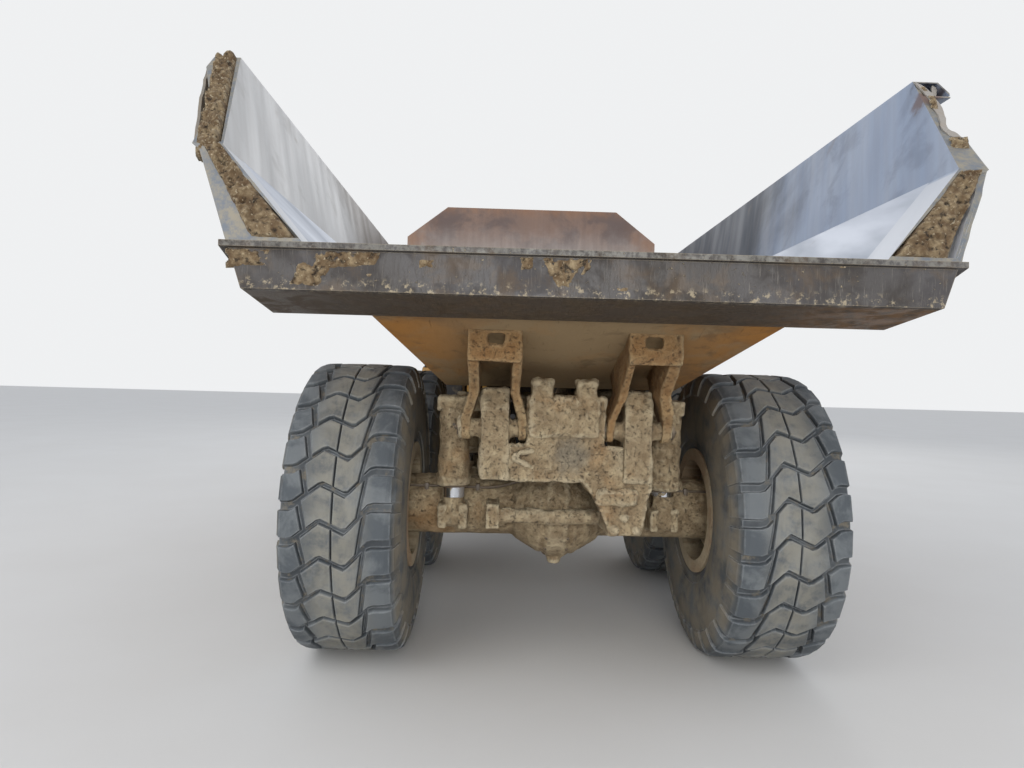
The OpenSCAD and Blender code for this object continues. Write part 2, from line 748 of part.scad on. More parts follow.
module cab_glass() color(glass) {
    low = cab_z + 620 + seat_gap;
    high = cab_top - 110 - seat_gap;
    mid = cab_t / 2;
    for (y = [y_cab + mid, y_cab_front - mid - 8])
        span([-cab_half + 110 + seat_gap, cab_half - 110 - seat_gap],
            [y, y + 8], [low, high]);
    span([cab_half - mid - 8, cab_half - mid],
        [y_cab + 120 + seat_gap, y_cab_front - 120 - seat_gap], [low, high]);
    // back, front of the two small panes beside the door
    panes = [[y_cab + 110, door_back - 70], [door_front + 70, y_cab_front - 125]];
    for (p = panes)
        span([-cab_half + mid, -cab_half + mid + 8],
            [p[0] + seat_gap, p[1] - seat_gap], [low, high]);
}

module cab_seat() color(dark) {
    y = y_cab + 450;
    z = cab_z + cab_t;
    span([-180, 180], [y, y + 420], [z, z + 330]);
    span([-260, 260], [y, y + 520], [z + 330, z + 470]);
    plate_x([[y, z + 470], [y + 130, z + 470], [y + 10, z + 1130],
        [y - 110, z + 1130]], [-250, 250]);
}

module cab_console() color(dark) {
    y = y_cab_front - cab_t;
    z = cab_z + cab_t;
    plate_x([[y, z], [y - 180, z], [y - 330, z + 560], [y - 260, z + 700],
        [y, z + 560]], [-620, 620]);
    translate([0, y - 270, z + 600]) rotate([55, 0, 0]) {
        cylinder(r = 24, h = 180);
        translate([0, 0, 180]) rotate_extrude()
            translate([200, 0]) circle(r = 17);
        for (a = [0, 120, 240]) rotate([0, 0, a])
            translate([0, -12, 172]) cube([195, 24, 16]);
    }
}

// Tanks hung below the cab, behind the front tyres
module fuel_tank() color(paint)
    side_tank(1);
module hydraulic_tank() color(paint)
    side_tank(-1);

module side_tank(side) {
    y = y_pivot + 40;
    x = side > 0 ? [500, 800] : [-800, -500];
    difference() {
        plate_x([[y, 1180], [y + 330, 1180], [y + 330, 1640], [y, 1640]], x);
        rod_y(30, side * 650, [y - 1, y + 6], 1560);
    }
    span(side > 0 ? [front_rail_out, 500] : [-500, -front_rail_out],
        [y + 270, y + 330], [1200, 1300]);
}

muffler_r = 95;
exhaust_top = 3430;

module exhaust() color(rust) {
    x = cab_half + 120;
    y = y_front + 690;
    low = fender_z + 30 + seat_gap;
    bend = 160;
    difference() {
        union() {
            rod_z(58, x, y, [low, exhaust_top - bend]);
            translate([x, y, 0]) rotate_extrude() polygon([
                [0, low + 130], [70, low + 130], [muffler_r, low + 180],
                [muffler_r, low + 980], [70, low + 1030], [0, low + 1030]]);
            // Tail that leans back from a round joint
            translate([x, y, exhaust_top - bend]) rotate([35, 0, 0])
                cylinder(r = 58, h = bend);
            translate([x, y, exhaust_top - bend]) sphere(r = 66);
        }
        translate([x, y, exhaust_top - bend]) rotate([35, 0, 0])
            cylinder(r = 50, h = bend + 1);
    }
}

module mirrors() color(dark) both() {
    y = y_cab_front - 90;
    low = cab_z + mirror_low;
    high = cab_z + mirror_high;
    for (z = [low, high]) {
        rod_x(18, [cab_half, mirror_x], y, z);
        rod_x(32, [cab_half, cab_half + 14], y, z);
    }
    rod_z(18, mirror_x, y, [low - 330, high + 60]);
    // Large glass above, small wide view glass below
    for (h = [[low - 60, 380], [low - 290, 190]])
        rounded_housing([mirror_x - 100, mirror_x + 100], [y + 10, y + 65],
            [h[0], h[0] + h[1]], 40);
}

// Housing with rounded corners in the end view
module rounded_housing(x, y, z, r) {
    span([x[0] + r, x[1] - r], y, z);
    span(x, y, [z[0] + r, z[1] - r]);
    for (a = [x[0] + r, x[1] - r], b = [z[0] + r, z[1] - r])
        rod_y(r, a, y, b);
}

module headlamps() color(glass) both() {
    span([lamp_x + seat_gap, lamp_x + lamp_w - seat_gap],
        [y_nose - 60 + seat_gap, y_nose - 30], [lamp_z + seat_gap, lamp_z + lamp_h - seat_gap]);
    // Two round lenses in each lamp
    for (x = [lamp_x + lamp_w * 0.27, lamp_x + lamp_w * 0.73])
        rod_y(lamp_h * 0.36, x, [y_nose - 30, y_nose - 12], lamp_z + lamp_h / 2);
}

louvres = 9;
hood_skin = 22;
nose_t = 60;
chin_z = 1300;
shoulder_r = 110;

// The hood's full form between two stations, its sides and top drawn in by inset
module hood_form(back, nose, inset) {
    r = shoulder_r - inset;
    x = hood_half - shoulder_r;
    hull() {
        for (side = [-1, 1]) {
            translate([side * x, back, hood_z - shoulder_r]) rotate([-90, 0, 0])
                cylinder(r = r, h = 1, $fn = 32);
            translate([side * x, nose - shoulder_r, nose_z - shoulder_r])
                sphere(r = r, $fn = 24);
            translate([side * x, nose - shoulder_r, chin_z - 1])
                cylinder(r = r, h = 1, $fn = 24);
            translate([side * (hood_half - inset) - 0.5, back, chin_z - 1])
                cube([1, 1, 1]);
        }
    }
}

// Hood that tilts forward over the engine
module hood() color(paint) {
    back = y_hood_back;
    nose = y_hood_nose;
    chin = [[back - 2, hood_low], [nose - 250, hood_low], [nose - 120, chin_z],
        [nose + 1, chin_z], [nose + 1, hood_z + 1], [back - 2, hood_z + 1]];
    difference() {
        intersection() {
            hood_form(back, nose, 0);
            plate_x(chin, [-hood_half - 1, hood_half + 1]);
        }
        hood_form(back - 5, nose - nose_t + hood_skin, hood_skin);
        // Opening for the grille
        span([-hood_half + 110, hood_half - 110], [nose - nose_t - 1, nose + 1],
            [1400, nose_z - 200]);
        // Louvres in both sides
        for (i = [0:louvres - 1]) for (side = [-1, 1])
            span([side * hood_half - hood_skin - 2, side * hood_half + hood_skin + 2],
                [back + 700 + i * 90, back + 740 + i * 90], [1760, 2040]);
    }
    // Hinge arms
    both() difference() {
        plate_x([[hood_hinge[0] - 45, hood_hinge[1] - 40],
            [hood_hinge[0] + 45, hood_hinge[1] - 40], [nose - 61, 1330],
            [nose - 61, 1480], [hood_hinge[0] - 45, 1330]], [480, 520]);
        rod_x(22 + pin_play, [479, 521], hood_hinge[0], hood_hinge[1]);
    }
}

module grille() color(dark) {
    y = y_hood_nose;
    half = hood_half - 110 - seat_gap;
    low = 1400 + seat_gap;
    high = nose_z - 200 - seat_gap;
    for (z = [low, high - 30])
        span([-half, half], [y - 50, y - 20], [z, z + 30]);
    for (x = [-half, -15, half - 30])
        span([x, x + 30], [y - 50, y - 20], [low, high]);
    count = 9;
    pitch = (high - low) / count;
    for (i = [1:count - 1])
        span([-half, half], [y - 46, y - 28], [low + i * pitch, low + i * pitch + 22]);
}

// Left door with its window and hinge straps
module cab_door() color(paint) difference() {
    union() {
        span([-cab_half, -cab_half + cab_t - 2], [door_back + moving_gap,
            door_front - moving_gap], [cab_z + cab_t + moving_gap,
            cab_top - 90 - moving_gap]);
        for (z = hinge_heights) {
            rod_z(20, door_hinge_x, door_front + 12, [z - 27, z + 27]);
            span([door_hinge_x - 8, -cab_half], [door_front - 90, door_front - 50],
                [z - 27, z + 27]);
            span([door_hinge_x - 20, door_hinge_x - 8],
                [door_front - 90, door_front + 12], [z - 27, z + 27]);
        }
    }
    for (z = hinge_heights)
        rod_z(12 + pin_play, door_hinge_x, door_front + 12, [z - 28, z + 28]);
    span([-cab_half - 1, -cab_half + cab_t], [door_back + 75,
        door_front - 75], [cab_z + 560, cab_top - 165]);
}

module door_glass() color(glass)
    span([-cab_half + 18, -cab_half + 26], [door_back + 75 + seat_gap,
        door_front - 75 - seat_gap],
        [cab_z + 560 + seat_gap, cab_top - 165 - seat_gap]);

// Side view outline of what lies behind the front wall and ahead of line
module behind_front(low, high, back) plate_x([
    [back[0], low], [lean_y(low), low], [lean_y(high), high], [back[1], high]
], [-2000, 2000]);

// Lower shell: flat floor, rising tail floor and sloped side plates
module body_floor() color(steel) {
    span([-floor_half, floor_half], [ramp_y, lean_y(under_z)], [under_z, floor_z]);
    // Rising floor between the side plates
    intersection() {
        plate_x([[ramp_y, under_z], [ramp_y, floor_z],
            [beam_front, ramp_top(beam_front)],
            [beam_front, ramp_top(beam_front) - floor_t]], [-2000, 2000]);
        plate_y(doubled([[0, under_z - 50], [floor_half, under_z - 50],
            [floor_half, floor_z], [inner_half(tail_z), tail_z], [0, tail_z]]),
            [y_tail, y_rear]);
    }
    both() intersection() {
        plate_y([[floor_half, under_z], [fold_half + lower_w, fold_z],
            [fold_half, fold_z], [floor_half, floor_z]], [y_tail, y_nose]);
        plate_x([[ramp_y, under_z], [lean_y(under_z), under_z],
            [lean_y(fold_z), fold_z], [edge[1][0] + post_l, fold_z],
            [edge[0][0] + post_l, ramp_top(edge[0][0] + post_l)],
            [beam_front, ramp_top(beam_front)],
            [beam_front, ramp_top(beam_front) - floor_t]], [0, 2000]);
    }
}

// Upper side walls with their top boxes, ribs and boxed rear edges
module body_sides() color(steel) {
    both() wall_with_ribs();
    // The left end is whole, the right one has lost its outer plate
    mirror([1, 0, 0]) difference() {
        boxed_edge();
        end_pocket(1, [0, 1], pocket_depth);
        end_pocket(0, [0, 0.6], pocket_depth);
    }
    difference() {
        boxed_edge();
        torn_gap();
        end_pocket(0, [0, 1], pocket_depth);
        open_box_end();
    }
}

module wall_with_ribs() {
    box_z = top_z - 100;
    intersection() {
        plate_y([[fold_half, fold_z], [fold_half + upper_w, fold_z],
            [inner_half(box_z) + upper_w, box_z], [top_half + box_w, box_z],
            [top_half + box_w, top_z], [top_half, top_z]], [y_tail, y_nose]);
        behind_front(fold_z, top_z, [edge[1][0] + post_l, edge[2][0] + post_l]);
    }
    side_ribs();
}

// Rear face between two steps of the edge, as deep as depth says along the wall
module end_slice(step, depth) plate_x([
    edge[step] - [1, 0], edge[step + 1] - [1, 0],
    edge[step + 1] + [depth, 0], edge[step] + [depth, 0]
], [0, 2000]);

// Pocket that the plates round a wall's end leave between them
module end_pocket(step, share, depth) {
    low = [inner_half(edge[step][1]), end_outer[step]];
    high = [inner_half(edge[step + 1][1]), end_outer[step + 1]];
    a = lip_plate_t;
    // x at the low and the high end, for a share of the width
    function place(ends, s) = ends[0] + a + s * (ends[1] - ends[0] - 2 * a);
    intersection() {
        plate_y([
            [place(low, share[0]), edge[step][1] + a], [place(high, share[0]), edge[step + 1][1] - a],
            [place(high, share[1]), edge[step + 1][1] - a], [place(low, share[1]), edge[step][1] + a]
        ], [y_tail - 10, y_rear]);
        end_slice(step, depth);
    }
}

// What is torn off the outer side of the right wall's end
module torn_gap() {
    inside = inner_half(torn_low);
    // distance from the wall's inner face at the tear's foot, height above the foot
    rag = [[96, 215], [58, 118], [84, 52], [112, 30], [126, 0], [300, 0]];
    plate_y(concat(
        [[inner_half(torn_high) + 52, torn_high]],
        [for (r = rag) [inside + r[0], torn_low + r[1]]],
        [[inside + 300, torn_high]]
    ), [y_tail, edge[2][0] + post_l + 1]);
}

// Open end of the top box above the tear
module open_box_end() {
    z = [torn_high + 12, top_z - 10];
    plate_y([
        [inner_half(z[0]) + 14, z[0]], [inner_half(z[1]) + 12, z[1]],
        [top_half + box_w - 12, z[1]], [top_half + box_w - 12, z[0]]
    ], [y_tail, edge[2][0] + post_l - 25]);
}

// Upright ribs between the fold and the top box
module side_ribs() {
    count = 4;
    first = edge[2][0] + 420;
    pitch = (foot - 150 - first) / (count - 1);
    low = fold_z + 12;
    high = top_z - 98;
    for (i = [0:count - 1])
        plate_y([[inner_half(low) + upper_w - 2, low],
            [inner_half(high) + upper_w - 2, high],
            [top_half + box_w - 18, high], [fold_half + 90, low]],
            [first + i * pitch, first + i * pitch + 110]);
}

// Thick rear edge of a side wall, from the beam to the top
module boxed_edge() intersection() {
    plate_y([
        [inner_half(tail_z - 80), tail_z - 80], [fold_half, fold_z], [top_half, top_z],
        [end_outer[2], top_z], [end_outer[2] - 2, top_z - 90],
        [end_outer[1] + 42, fold_z + 250], [end_outer[1] + 4, fold_z + 30],
        [end_outer[1], fold_z], [end_outer[1] - 34, fold_z - 28],
        [end_outer[0], tail_z], [end_outer[0] - 25, tail_z - 80]
    ], [y_tail, y_rear]);
    plate_x([edge[0], edge[1], edge[2], edge[2] + [post_l, 0],
        edge[1] + [post_l, 0],
        [edge[0][0] + post_l, ramp_top(edge[0][0] + post_l)]], [0, 2000]);
}

// Front wall and the guard above it
module body_front() color(rust) {
    difference() {
        intersection() {
            plate_y(doubled([[0, under_z], [floor_half, under_z],
                [fold_half + lower_w, fold_z], [top_half + upper_w, top_z],
                [0, top_z]]), [0, y_nose]);
            plate_x([[lean_y(under_z), under_z], [lean_y(under_z) + wall_t * 1.2, under_z],
                [lean_y(top_z) + wall_t * 1.2, top_z], [lean_y(top_z), top_z]],
                [-2000, 2000]);
        }
    }
    y = y_rear + guard_y;
    plate_y(doubled([[0, top_z - 60], [guard_half, top_z - 60],
        [guard_half, guard_top - 368], [guard_half - 475, guard_top],
        [0, guard_top]]), [y, y + wall_t]);
    span([-guard_half, guard_half], [lean_y(top_z - 30) + 5, y + 5],
        [top_z - 60, top_z - 30]);
    // Upright stiffeners on the front face
    for (x = [-900, -320, 280, 860]) intersection() {
        plate_x([[lean_y(under_z) + wall_t * 1.2 - 1, under_z],
            [lean_y(under_z) + 70, under_z], [y + 60, top_z],
            [y + 60, guard_top - 60], [y + wall_t - 1, guard_top - 60],
            [y + wall_t - 1, top_z - 10], [lean_y(top_z) + wall_t * 1.2 - 1, top_z - 10]],
            [x, x + 40]);
        plate_y(doubled([[0, under_z], [floor_half, under_z],
            [fold_half, fold_z], [fold_half, guard_top], [0, guard_top]]),
            [0, y_nose]);
    }
}

// Heavy beam across the tail with a lip that stands proud of it
module tail_beam() color(worn) {
    rear = y_tail + lip_proud;
    intersection() {
        plate_x([[rear, tail_z - lip_t], [rear, beam_fold_z],
            [beam_front - seat_gap, beam_low_z],
            [beam_front - seat_gap, ramp_top(beam_front) - seat_gap],
            [rear, ramp_top(rear) - seat_gap]], [-2000, 2000]);
        plate_y(doubled([[0, beam_low_z - 1], [beam_half - 31, beam_low_z - 1],
            [beam_half - 55, beam_fold_z], [beam_half, tail_z], [0, tail_z]]),
            [y_tail, y_rear]);
    }
    back = y_tail + 4 * lip_t;
    plate_x([[y_tail, tail_z], [y_tail, tail_z - lip_t],
        [back, ramp_top(back) - lip_t], [back, ramp_top(back) - seat_gap],
        [edge[0][0], tail_z - seat_gap]], [-beam_half - lip_t, beam_half + lip_t]);
}

// Ears under the body: hinge ears, hoist ears, pads on the frame
module body_brackets() color(dust) {
    y = y_rear - hinge_back;
    slack = floor_t + seat_gap;
    // inner and outer face of an ear at its top, and how far its foot splays
    ears = [[rail_in - ear_gap - ear_w, rail_in - ear_gap, -ear_splay],
        [rail_out + ear_gap, rail_out + ear_gap + ear_w + 15, ear_splay]];
    both() for (e = ears) difference() {
        union() {
            rod_x(ear_r, [e[0] + e[2], e[1] + e[2]], y, hinge_z);
            intersection() {
                plate_x([[y - ear_r, hinge_z], [y + ear_r, hinge_z], [y + 90, under_z],
                    [y + 140, under_z + 60],
                    [y + 180, ramp_top(y + 180) - slack],
                    [arch_y, ramp_top(arch_y) - slack], [arch_y, arch_z],
                    [y - 170, under_z - 20]], [0, 1000]);
                plate_y([[e[0] + e[2], hinge_z - 1], [e[1] + e[2], hinge_z - 1],
                    [e[1] + e[2], hinge_z + 50], [e[1], under_z - 30], [e[1], tail_z],
                    [e[0], tail_z], [e[0], under_z - 30], [e[0] + e[2], hinge_z + 50]],
                    [arch_y - 1, y_rear]);
            }
        }
        rod_x(hinge_r + pin_play, [e[0] + e[2] - 1, e[1] + e[2] + 1], y, hinge_z);
    }
    // Plate that closes each pair of ears to an arch, with its square hole
    both() difference() {
        plate_x([[arch_y - 25, arch_z], [arch_y, arch_z],
            [arch_y, ramp_top(arch_y) - slack],
            [arch_y - 25, ramp_top(arch_y - 25) - slack]], [ears[0][0], ears[1][1]]);
        span([rail_in + 30, rail_in + 30 + arch_hole], [arch_y - 26, arch_y + 1],
            [arch_z + 72, arch_z + 72 + arch_hole * 0.7]);
    }
    both() span([rail_in + 10, rail_out - 10],
        [y_rear + 300, lean_y(under_z) - 300], [rail_top + moving_gap, under_z]);
    both() for (x = [hoist_x - 80, hoist_x + 55]) difference() {
        plate_x([[hoist_eye[0] - 60, hoist_eye[1] - 60],
            [hoist_eye[0] + 60, hoist_eye[1] - 60],
            [hoist_eye[0] + 140, under_z],
            [hoist_eye[0] - 140, under_z]], [x, x + 25]);
        rod_x(hoist_pin_r + pin_play, [x - 1, x + 26], hoist_eye[0], hoist_eye[1]);
    }
}

// Places a piece drawn along +X on both hoist lines at rest
module on_hoist() both() translate([hoist_x, hoist_foot[0], hoist_foot[1]])
    rotate([hoist_a, 0, 0]) rotate([0, 0, 90]) children();

// A tube drawn along +X from a to b
module tube(r_out, r_in, a, b) difference() {
    translate([a, 0, 0]) rotate([0, 90, 0]) cylinder(r = r_out, h = b - a);
    translate([a - 1, 0, 0]) rotate([0, 90, 0]) cylinder(r = r_in, h = b - a + 2);
}

// An eye drawn at x = a with its bore across
module eye(r, bore, a, w) difference() {
    translate([a, -w / 2, 0]) rotate([-90, 0, 0]) cylinder(r = r, h = w);
    translate([a, -w / 2 - 1, 0]) rotate([-90, 0, 0]) cylinder(r = bore, h = w + 2);
}

module hoist_barrels() color(dust) on_hoist() {
    difference() {
        union() {
            eye(hoist_eye_r, hoist_pin_r + pin_play, 0, 90);
            translate([50, -40, -45]) cube([60, 80, 90]);
            translate([100, 0, 0]) rotate([0, 90, 0])
                cylinder(r = hoist_r, h = hoist_mouth - 100);
        }
        translate([150, 0, 0]) rotate([0, 90, 0])
            cylinder(r = stage_r + pin_play, h = hoist_mouth);
        translate([0, -50, 0]) rotate([-90, 0, 0])
            cylinder(r = hoist_pin_r + pin_play, h = 100);
    }
}

module hoist_stages() color(chrome) on_hoist()
    tube(stage_r, hoist_rod_r + pin_play, 250, hoist_mouth + 50);

module hoist_rods() color(chrome) on_hoist() {
    translate([300, 0, 0]) rotate([0, 90, 0])
        cylinder(r = hoist_rod_r, h = hoist_l - 350);
    translate([hoist_l, -45, 0]) rotate([-90, 0, 0])
        cylinder(r = rod_eye_r, h = 90);
}

// Steering cylinder line on one side
steer_run = [steer_eye_x - steer_barrel_x, -steer_eye_y - steer_barrel_y];
steer_l = sqrt(steer_run[0] * steer_run[0] + steer_run[1] * steer_run[1]);
steer_a = atan2(steer_run[1], steer_run[0]);
steer_mouth = 740;
steer_rod_r = 28;

module on_steer(side) mirror([side > 0 ? 0 : 1, 0, 0])
    translate([steer_barrel_x, y_pivot + steer_barrel_y, steer_z])
        rotate([0, 0, steer_a]) children();

module steer_barrel(side) color(dust) on_steer(side) {
    difference() {
        union() {
            translate([0, 0, -40]) cylinder(r = 48, h = 80);
            translate([40, 0, 0]) rotate([0, 90, 0])
                cylinder(r = 46, h = steer_mouth - 40);
        }
        translate([0, 0, -50]) cylinder(r = 30 + pin_play, h = 100);
        translate([80, 0, 0]) rotate([0, 90, 0])
            cylinder(r = steer_rod_r + pin_play, h = steer_mouth);
    }
}

module steer_rod(side) color(chrome) on_steer(side) {
    translate([steer_mouth - 340, 0, 0]) rotate([0, 90, 0])
        cylinder(r = steer_rod_r, h = steer_l - steer_mouth + 310);
    translate([steer_l, 0, -40]) cylinder(r = 45, h = 80);
}

module steer_barrel_l() steer_barrel(-1);
module steer_barrel_r() steer_barrel(1);
module steer_rod_l() steer_rod(-1);
module steer_rod_r() steer_rod(1);

// Tyre: a revolved carcass with a zigzag groove between every two rows of lugs
module tyre(side, y) color(rubber) translate([side * track_w / 2, y, axle_z])
    rotate([0, 90, 0]) rotate([0, 0, side > 0 ? 0 : 180]) difference() {
        carcass();
        for (i = [0:lug_rows - 1])
            rotate([0, 0, i * 360 / lug_rows]) lug_groove();
    }

// Carcass, drawn as radius over width
module carcass() rotate_extrude($fn = 96) {
    r = tyre_d / 2;
    b = bead_d / 2 + seat_gap;
    w = tyre_w / 2;
    t = tread_w / 2;
    polygon([
        [b, -w + 46], [b + 40, -w + 41], [b + 46, -w + 22], [b + 190, -w],
        [r - 130, -w + 8],
        [r - 60, -t - 14], [r - 18, -t + 10], [r, -t + 90], [r, t - 90],
        [r - 18, t - 10], [r - 60, t + 14], [r - 130, w - 8], [b + 190, w],
        [b + 46, w - 22], [b + 40, w - 41], [b, w - 46]
    ]);
}

lug_rows = 29;
groove_w = 22;
groove_h = 26;
// share of the tread's width from the middle, shift of the groove there in row pitches
groove_path = [[-0.56, 0], [-0.39, 0], [-0.135, -0.62], [0.09, -0.30], [0.30, -1], [0.56, -1]];

module lug_groove() {
    pitch = PI * tyre_d / lug_rows;
    function edge_of(shift) = [for (p = groove_path) [p[1] * pitch + shift, p[0] * tread_w]];
    near = edge_of(groove_w / 2);
    far = edge_of(-groove_w / 2);
    translate([tyre_d / 2 - groove_h, 0, 0]) rotate([90, 0, 90])
        linear_extrude(groove_h + 40)
            polygon(concat(near, [for (i = [len(far) - 1:-1:0]) far[i]]));
}

// Rim: barrel, disc and hub that runs on the spindle, drawn as radius over width
module rim(side, y) color(dust) translate([side * track_w / 2, y, axle_z])
    rotate([0, side > 0 ? 90 : -90, 0]) rotate_extrude() {
        b = bead_d / 2;
        w = tyre_w / 2;
        polygon([
            [spindle_r + spindle_play, -155], [hub_r, -155], [hub_r, 20], [b - 30, 20],
            [b - 30, -w + 20], [b + 40, -w + 20], [b + 40, -w + 40], [b, -w + 45],
            [b, w - 45], [b + 40, w - 40], [b + 40, w - 20], [b - 30, w - 20],
            [b - 30, 60], [hub_r + 25, 60], [hub_r + 25, 85], [hub_r, 85], [hub_r, 150],
            [hub_r - 15, 165], [hub_r - 55, 165], [hub_r - 65, 195], [60, 205], [0, 205],
            [0, 120], [spindle_r + spindle_play, 120]
        ]);
    }

module tyre_fl() tyre(-1, y_front);
module tyre_fr() tyre(1, y_front);
module tyre_ml() tyre(-1, y_mid);
module tyre_mr() tyre(1, y_mid);
module tyre_rl() tyre(-1, y_rear);
module tyre_rr() tyre(1, y_rear);
module rim_fl() rim(-1, y_front);
module rim_fr() rim(1, y_front);
module rim_ml() rim(-1, y_mid);
module rim_mr() rim(1, y_mid);
module rim_rl() rim(-1, y_rear);
module rim_rr() rim(1, y_rear);

rear_frame();
rear_rails();
axle_mid();
axle_rear();
rear_suspension();
suspension_links();
driveshafts();
hitch();
front_frame();
front_rails();
axle_front();
front_suspension();
engine();
gearbox();
radiator();
bumper();
fenders();
steps();
handrails();
cab_mounts();
cab_shell();
cab_roof();
cab_glass();
cab_seat();
cab_console();
fuel_tank();
hydraulic_tank();
exhaust();
mirrors();
headlamps();
hood();
grille();
cab_door();
door_glass();
body_floor();
body_sides();
body_front();
tail_beam();
body_brackets();
hoist_barrels();
hoist_stages();
hoist_rods();
steer_barrel_l();
steer_barrel_r();
steer_rod_l();
steer_rod_r();
tyre_fl();
tyre_fr();
tyre_ml();
tyre_mr();
tyre_rl();
tyre_rr();
rim_fl();
rim_fr();
rim_ml();
rim_mr();
rim_rl();
rim_rr();
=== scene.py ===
"""Dresses the articulated dump truck: weathered finishes, tyres, mud and trim."""

import json
import logging
import math
import random
from dataclasses import dataclass, field
from enum import Enum
from typing import Iterable, Sequence

import bmesh
import bpy
from mathutils import Matrix, Vector, noise

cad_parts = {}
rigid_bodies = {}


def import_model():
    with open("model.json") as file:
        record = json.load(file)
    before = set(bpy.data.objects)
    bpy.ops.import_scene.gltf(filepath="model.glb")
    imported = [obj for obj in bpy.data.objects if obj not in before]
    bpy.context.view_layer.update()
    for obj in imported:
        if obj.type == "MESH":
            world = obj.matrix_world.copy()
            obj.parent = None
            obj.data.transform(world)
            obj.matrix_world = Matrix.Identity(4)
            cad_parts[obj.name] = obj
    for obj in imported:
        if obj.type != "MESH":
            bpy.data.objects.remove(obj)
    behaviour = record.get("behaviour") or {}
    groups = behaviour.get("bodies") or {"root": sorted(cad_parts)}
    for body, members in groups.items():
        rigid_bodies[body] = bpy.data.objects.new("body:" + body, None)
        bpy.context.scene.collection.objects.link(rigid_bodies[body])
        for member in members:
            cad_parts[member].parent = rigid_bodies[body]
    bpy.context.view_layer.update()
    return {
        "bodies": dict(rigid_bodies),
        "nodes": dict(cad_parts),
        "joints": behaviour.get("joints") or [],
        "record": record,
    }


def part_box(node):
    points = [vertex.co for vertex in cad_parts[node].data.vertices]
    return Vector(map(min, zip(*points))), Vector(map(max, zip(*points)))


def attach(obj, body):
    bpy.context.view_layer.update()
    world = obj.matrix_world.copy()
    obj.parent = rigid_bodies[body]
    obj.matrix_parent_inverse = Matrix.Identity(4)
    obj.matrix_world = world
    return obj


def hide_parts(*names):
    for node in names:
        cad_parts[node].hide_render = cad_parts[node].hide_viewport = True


LOG = logging.getLogger("truck")
Colour = tuple[float, float, float, float]
Point = tuple[float, float, float]


def srgb(red: int, green: int, blue: int) -> Colour:
    """Turns a colour of the usual 0 to 255 scale into Blender's linear one.

    Args:
        red: Red, 0 to 255.
        green: Green, 0 to 255.
        blue: Blue, 0 to 255.

    Returns:
        The linear colour with full alpha.
    """

    def line(value: int) -> float:
        """Straightens one channel."""
        c = value / 255
        return c / 12.92 if c <= 0.04045 else ((c + 0.055) / 1.055) ** 2.4

    return (line(red), line(green), line(blue), 1.0)


class Side(Enum):
    """Left or right of the truck, as its sign along X."""

    LEFT = -1
    RIGHT = 1


class Board:
    """Lays nodes on one node tree and wires them up."""

    def __init__(self, tree: bpy.types.NodeTree) -> None:
        """Keeps the tree to build on."""
        self.tree = tree

    def put(self, kind: str, wires: dict | None = None, **settings) -> bpy.types.Node:
        """Adds a node, sets its options and fills or wires its inputs.

        Args:
            kind: The node's type name without the ShaderNode prefix.
            wires: Values or output sockets by input name or number.
            **settings: Options of the node itself.

        Returns:
            The new node.
        """
        node = self.tree.nodes.new("ShaderNode" + kind)
        for name, value in settings.items():
            setattr(node, name, value)
        for key, value in (wires or {}).items():
            socket = node.inputs[key]
            if isinstance(value, bpy.types.NodeSocket):
                self.tree.links.new(value, socket)
            else:
                socket.default_value = value
        return node

    def sums(self, operation: str, a, b=0.0, clamp: bool = False) -> bpy.types.NodeSocket:
        """Adds a math node and returns its result."""
        node = self.put("Math", {0: a, 1: b}, operation=operation, use_clamp=clamp)
        return node.outputs[0]

    def ramp(self, value, low: float, high: float) -> bpy.types.NodeSocket:
        """Maps low to high smoothly onto 0 to 1."""
        node = self.put(
            "MapRange",
            {"Value": value, "From Min": low, "From Max": high},
            interpolation_type="SMOOTHSTEP",
        )
        return node.outputs["Result"]

    def blend(self, mask, under, over) -> bpy.types.NodeSocket:
        """Mixes two colours by a mask."""
        node = self.put(
            "Mix", {"Factor": mask, "A": under, "B": over}, data_type="RGBA"
        )
        return node.outputs["Result"]

    def blend_value(self, mask, under, over) -> bpy.types.NodeSocket:
        """Mixes two numbers by a mask."""
        node = self.put("Mix", {"Factor": mask, "A": under, "B": over}, data_type="FLOAT")
        return node.outputs["Result"]

    def noise(self, place, scale: float, detail: float = 4.0, rough: float = 0.55):
        """Adds a noise texture and returns its value socket."""
        node = self.put(
            "TexNoise",
            {"Vector": place, "Scale": scale, "Detail": detail, "Roughness": rough},
        )
        return node.outputs["Fac"]

    def stretched(self, place, scale: Point, turn: Point = (0.0, 0.0, 0.0)) -> bpy.types.NodeSocket:
        """Turns a coordinate, then scales it by its own factor along each axis."""
        if any(turn):
            place = self.put("Mapping", {"Vector": place, "Rotation": turn}).outputs["Vector"]
        return self.put("Mapping", {"Vector": place, "Scale": scale}).outputs["Vector"]

    def parts(self, vector) -> bpy.types.bpy_prop_collection:
        """Splits a vector into its three numbers."""
        return self.put("SeparateXYZ", {0: vector}).outputs

    def share(self, mask, amount: float) -> bpy.types.NodeSocket:
        """Weakens a mask to a share of itself."""
        return self.sums("MULTIPLY", mask, amount)


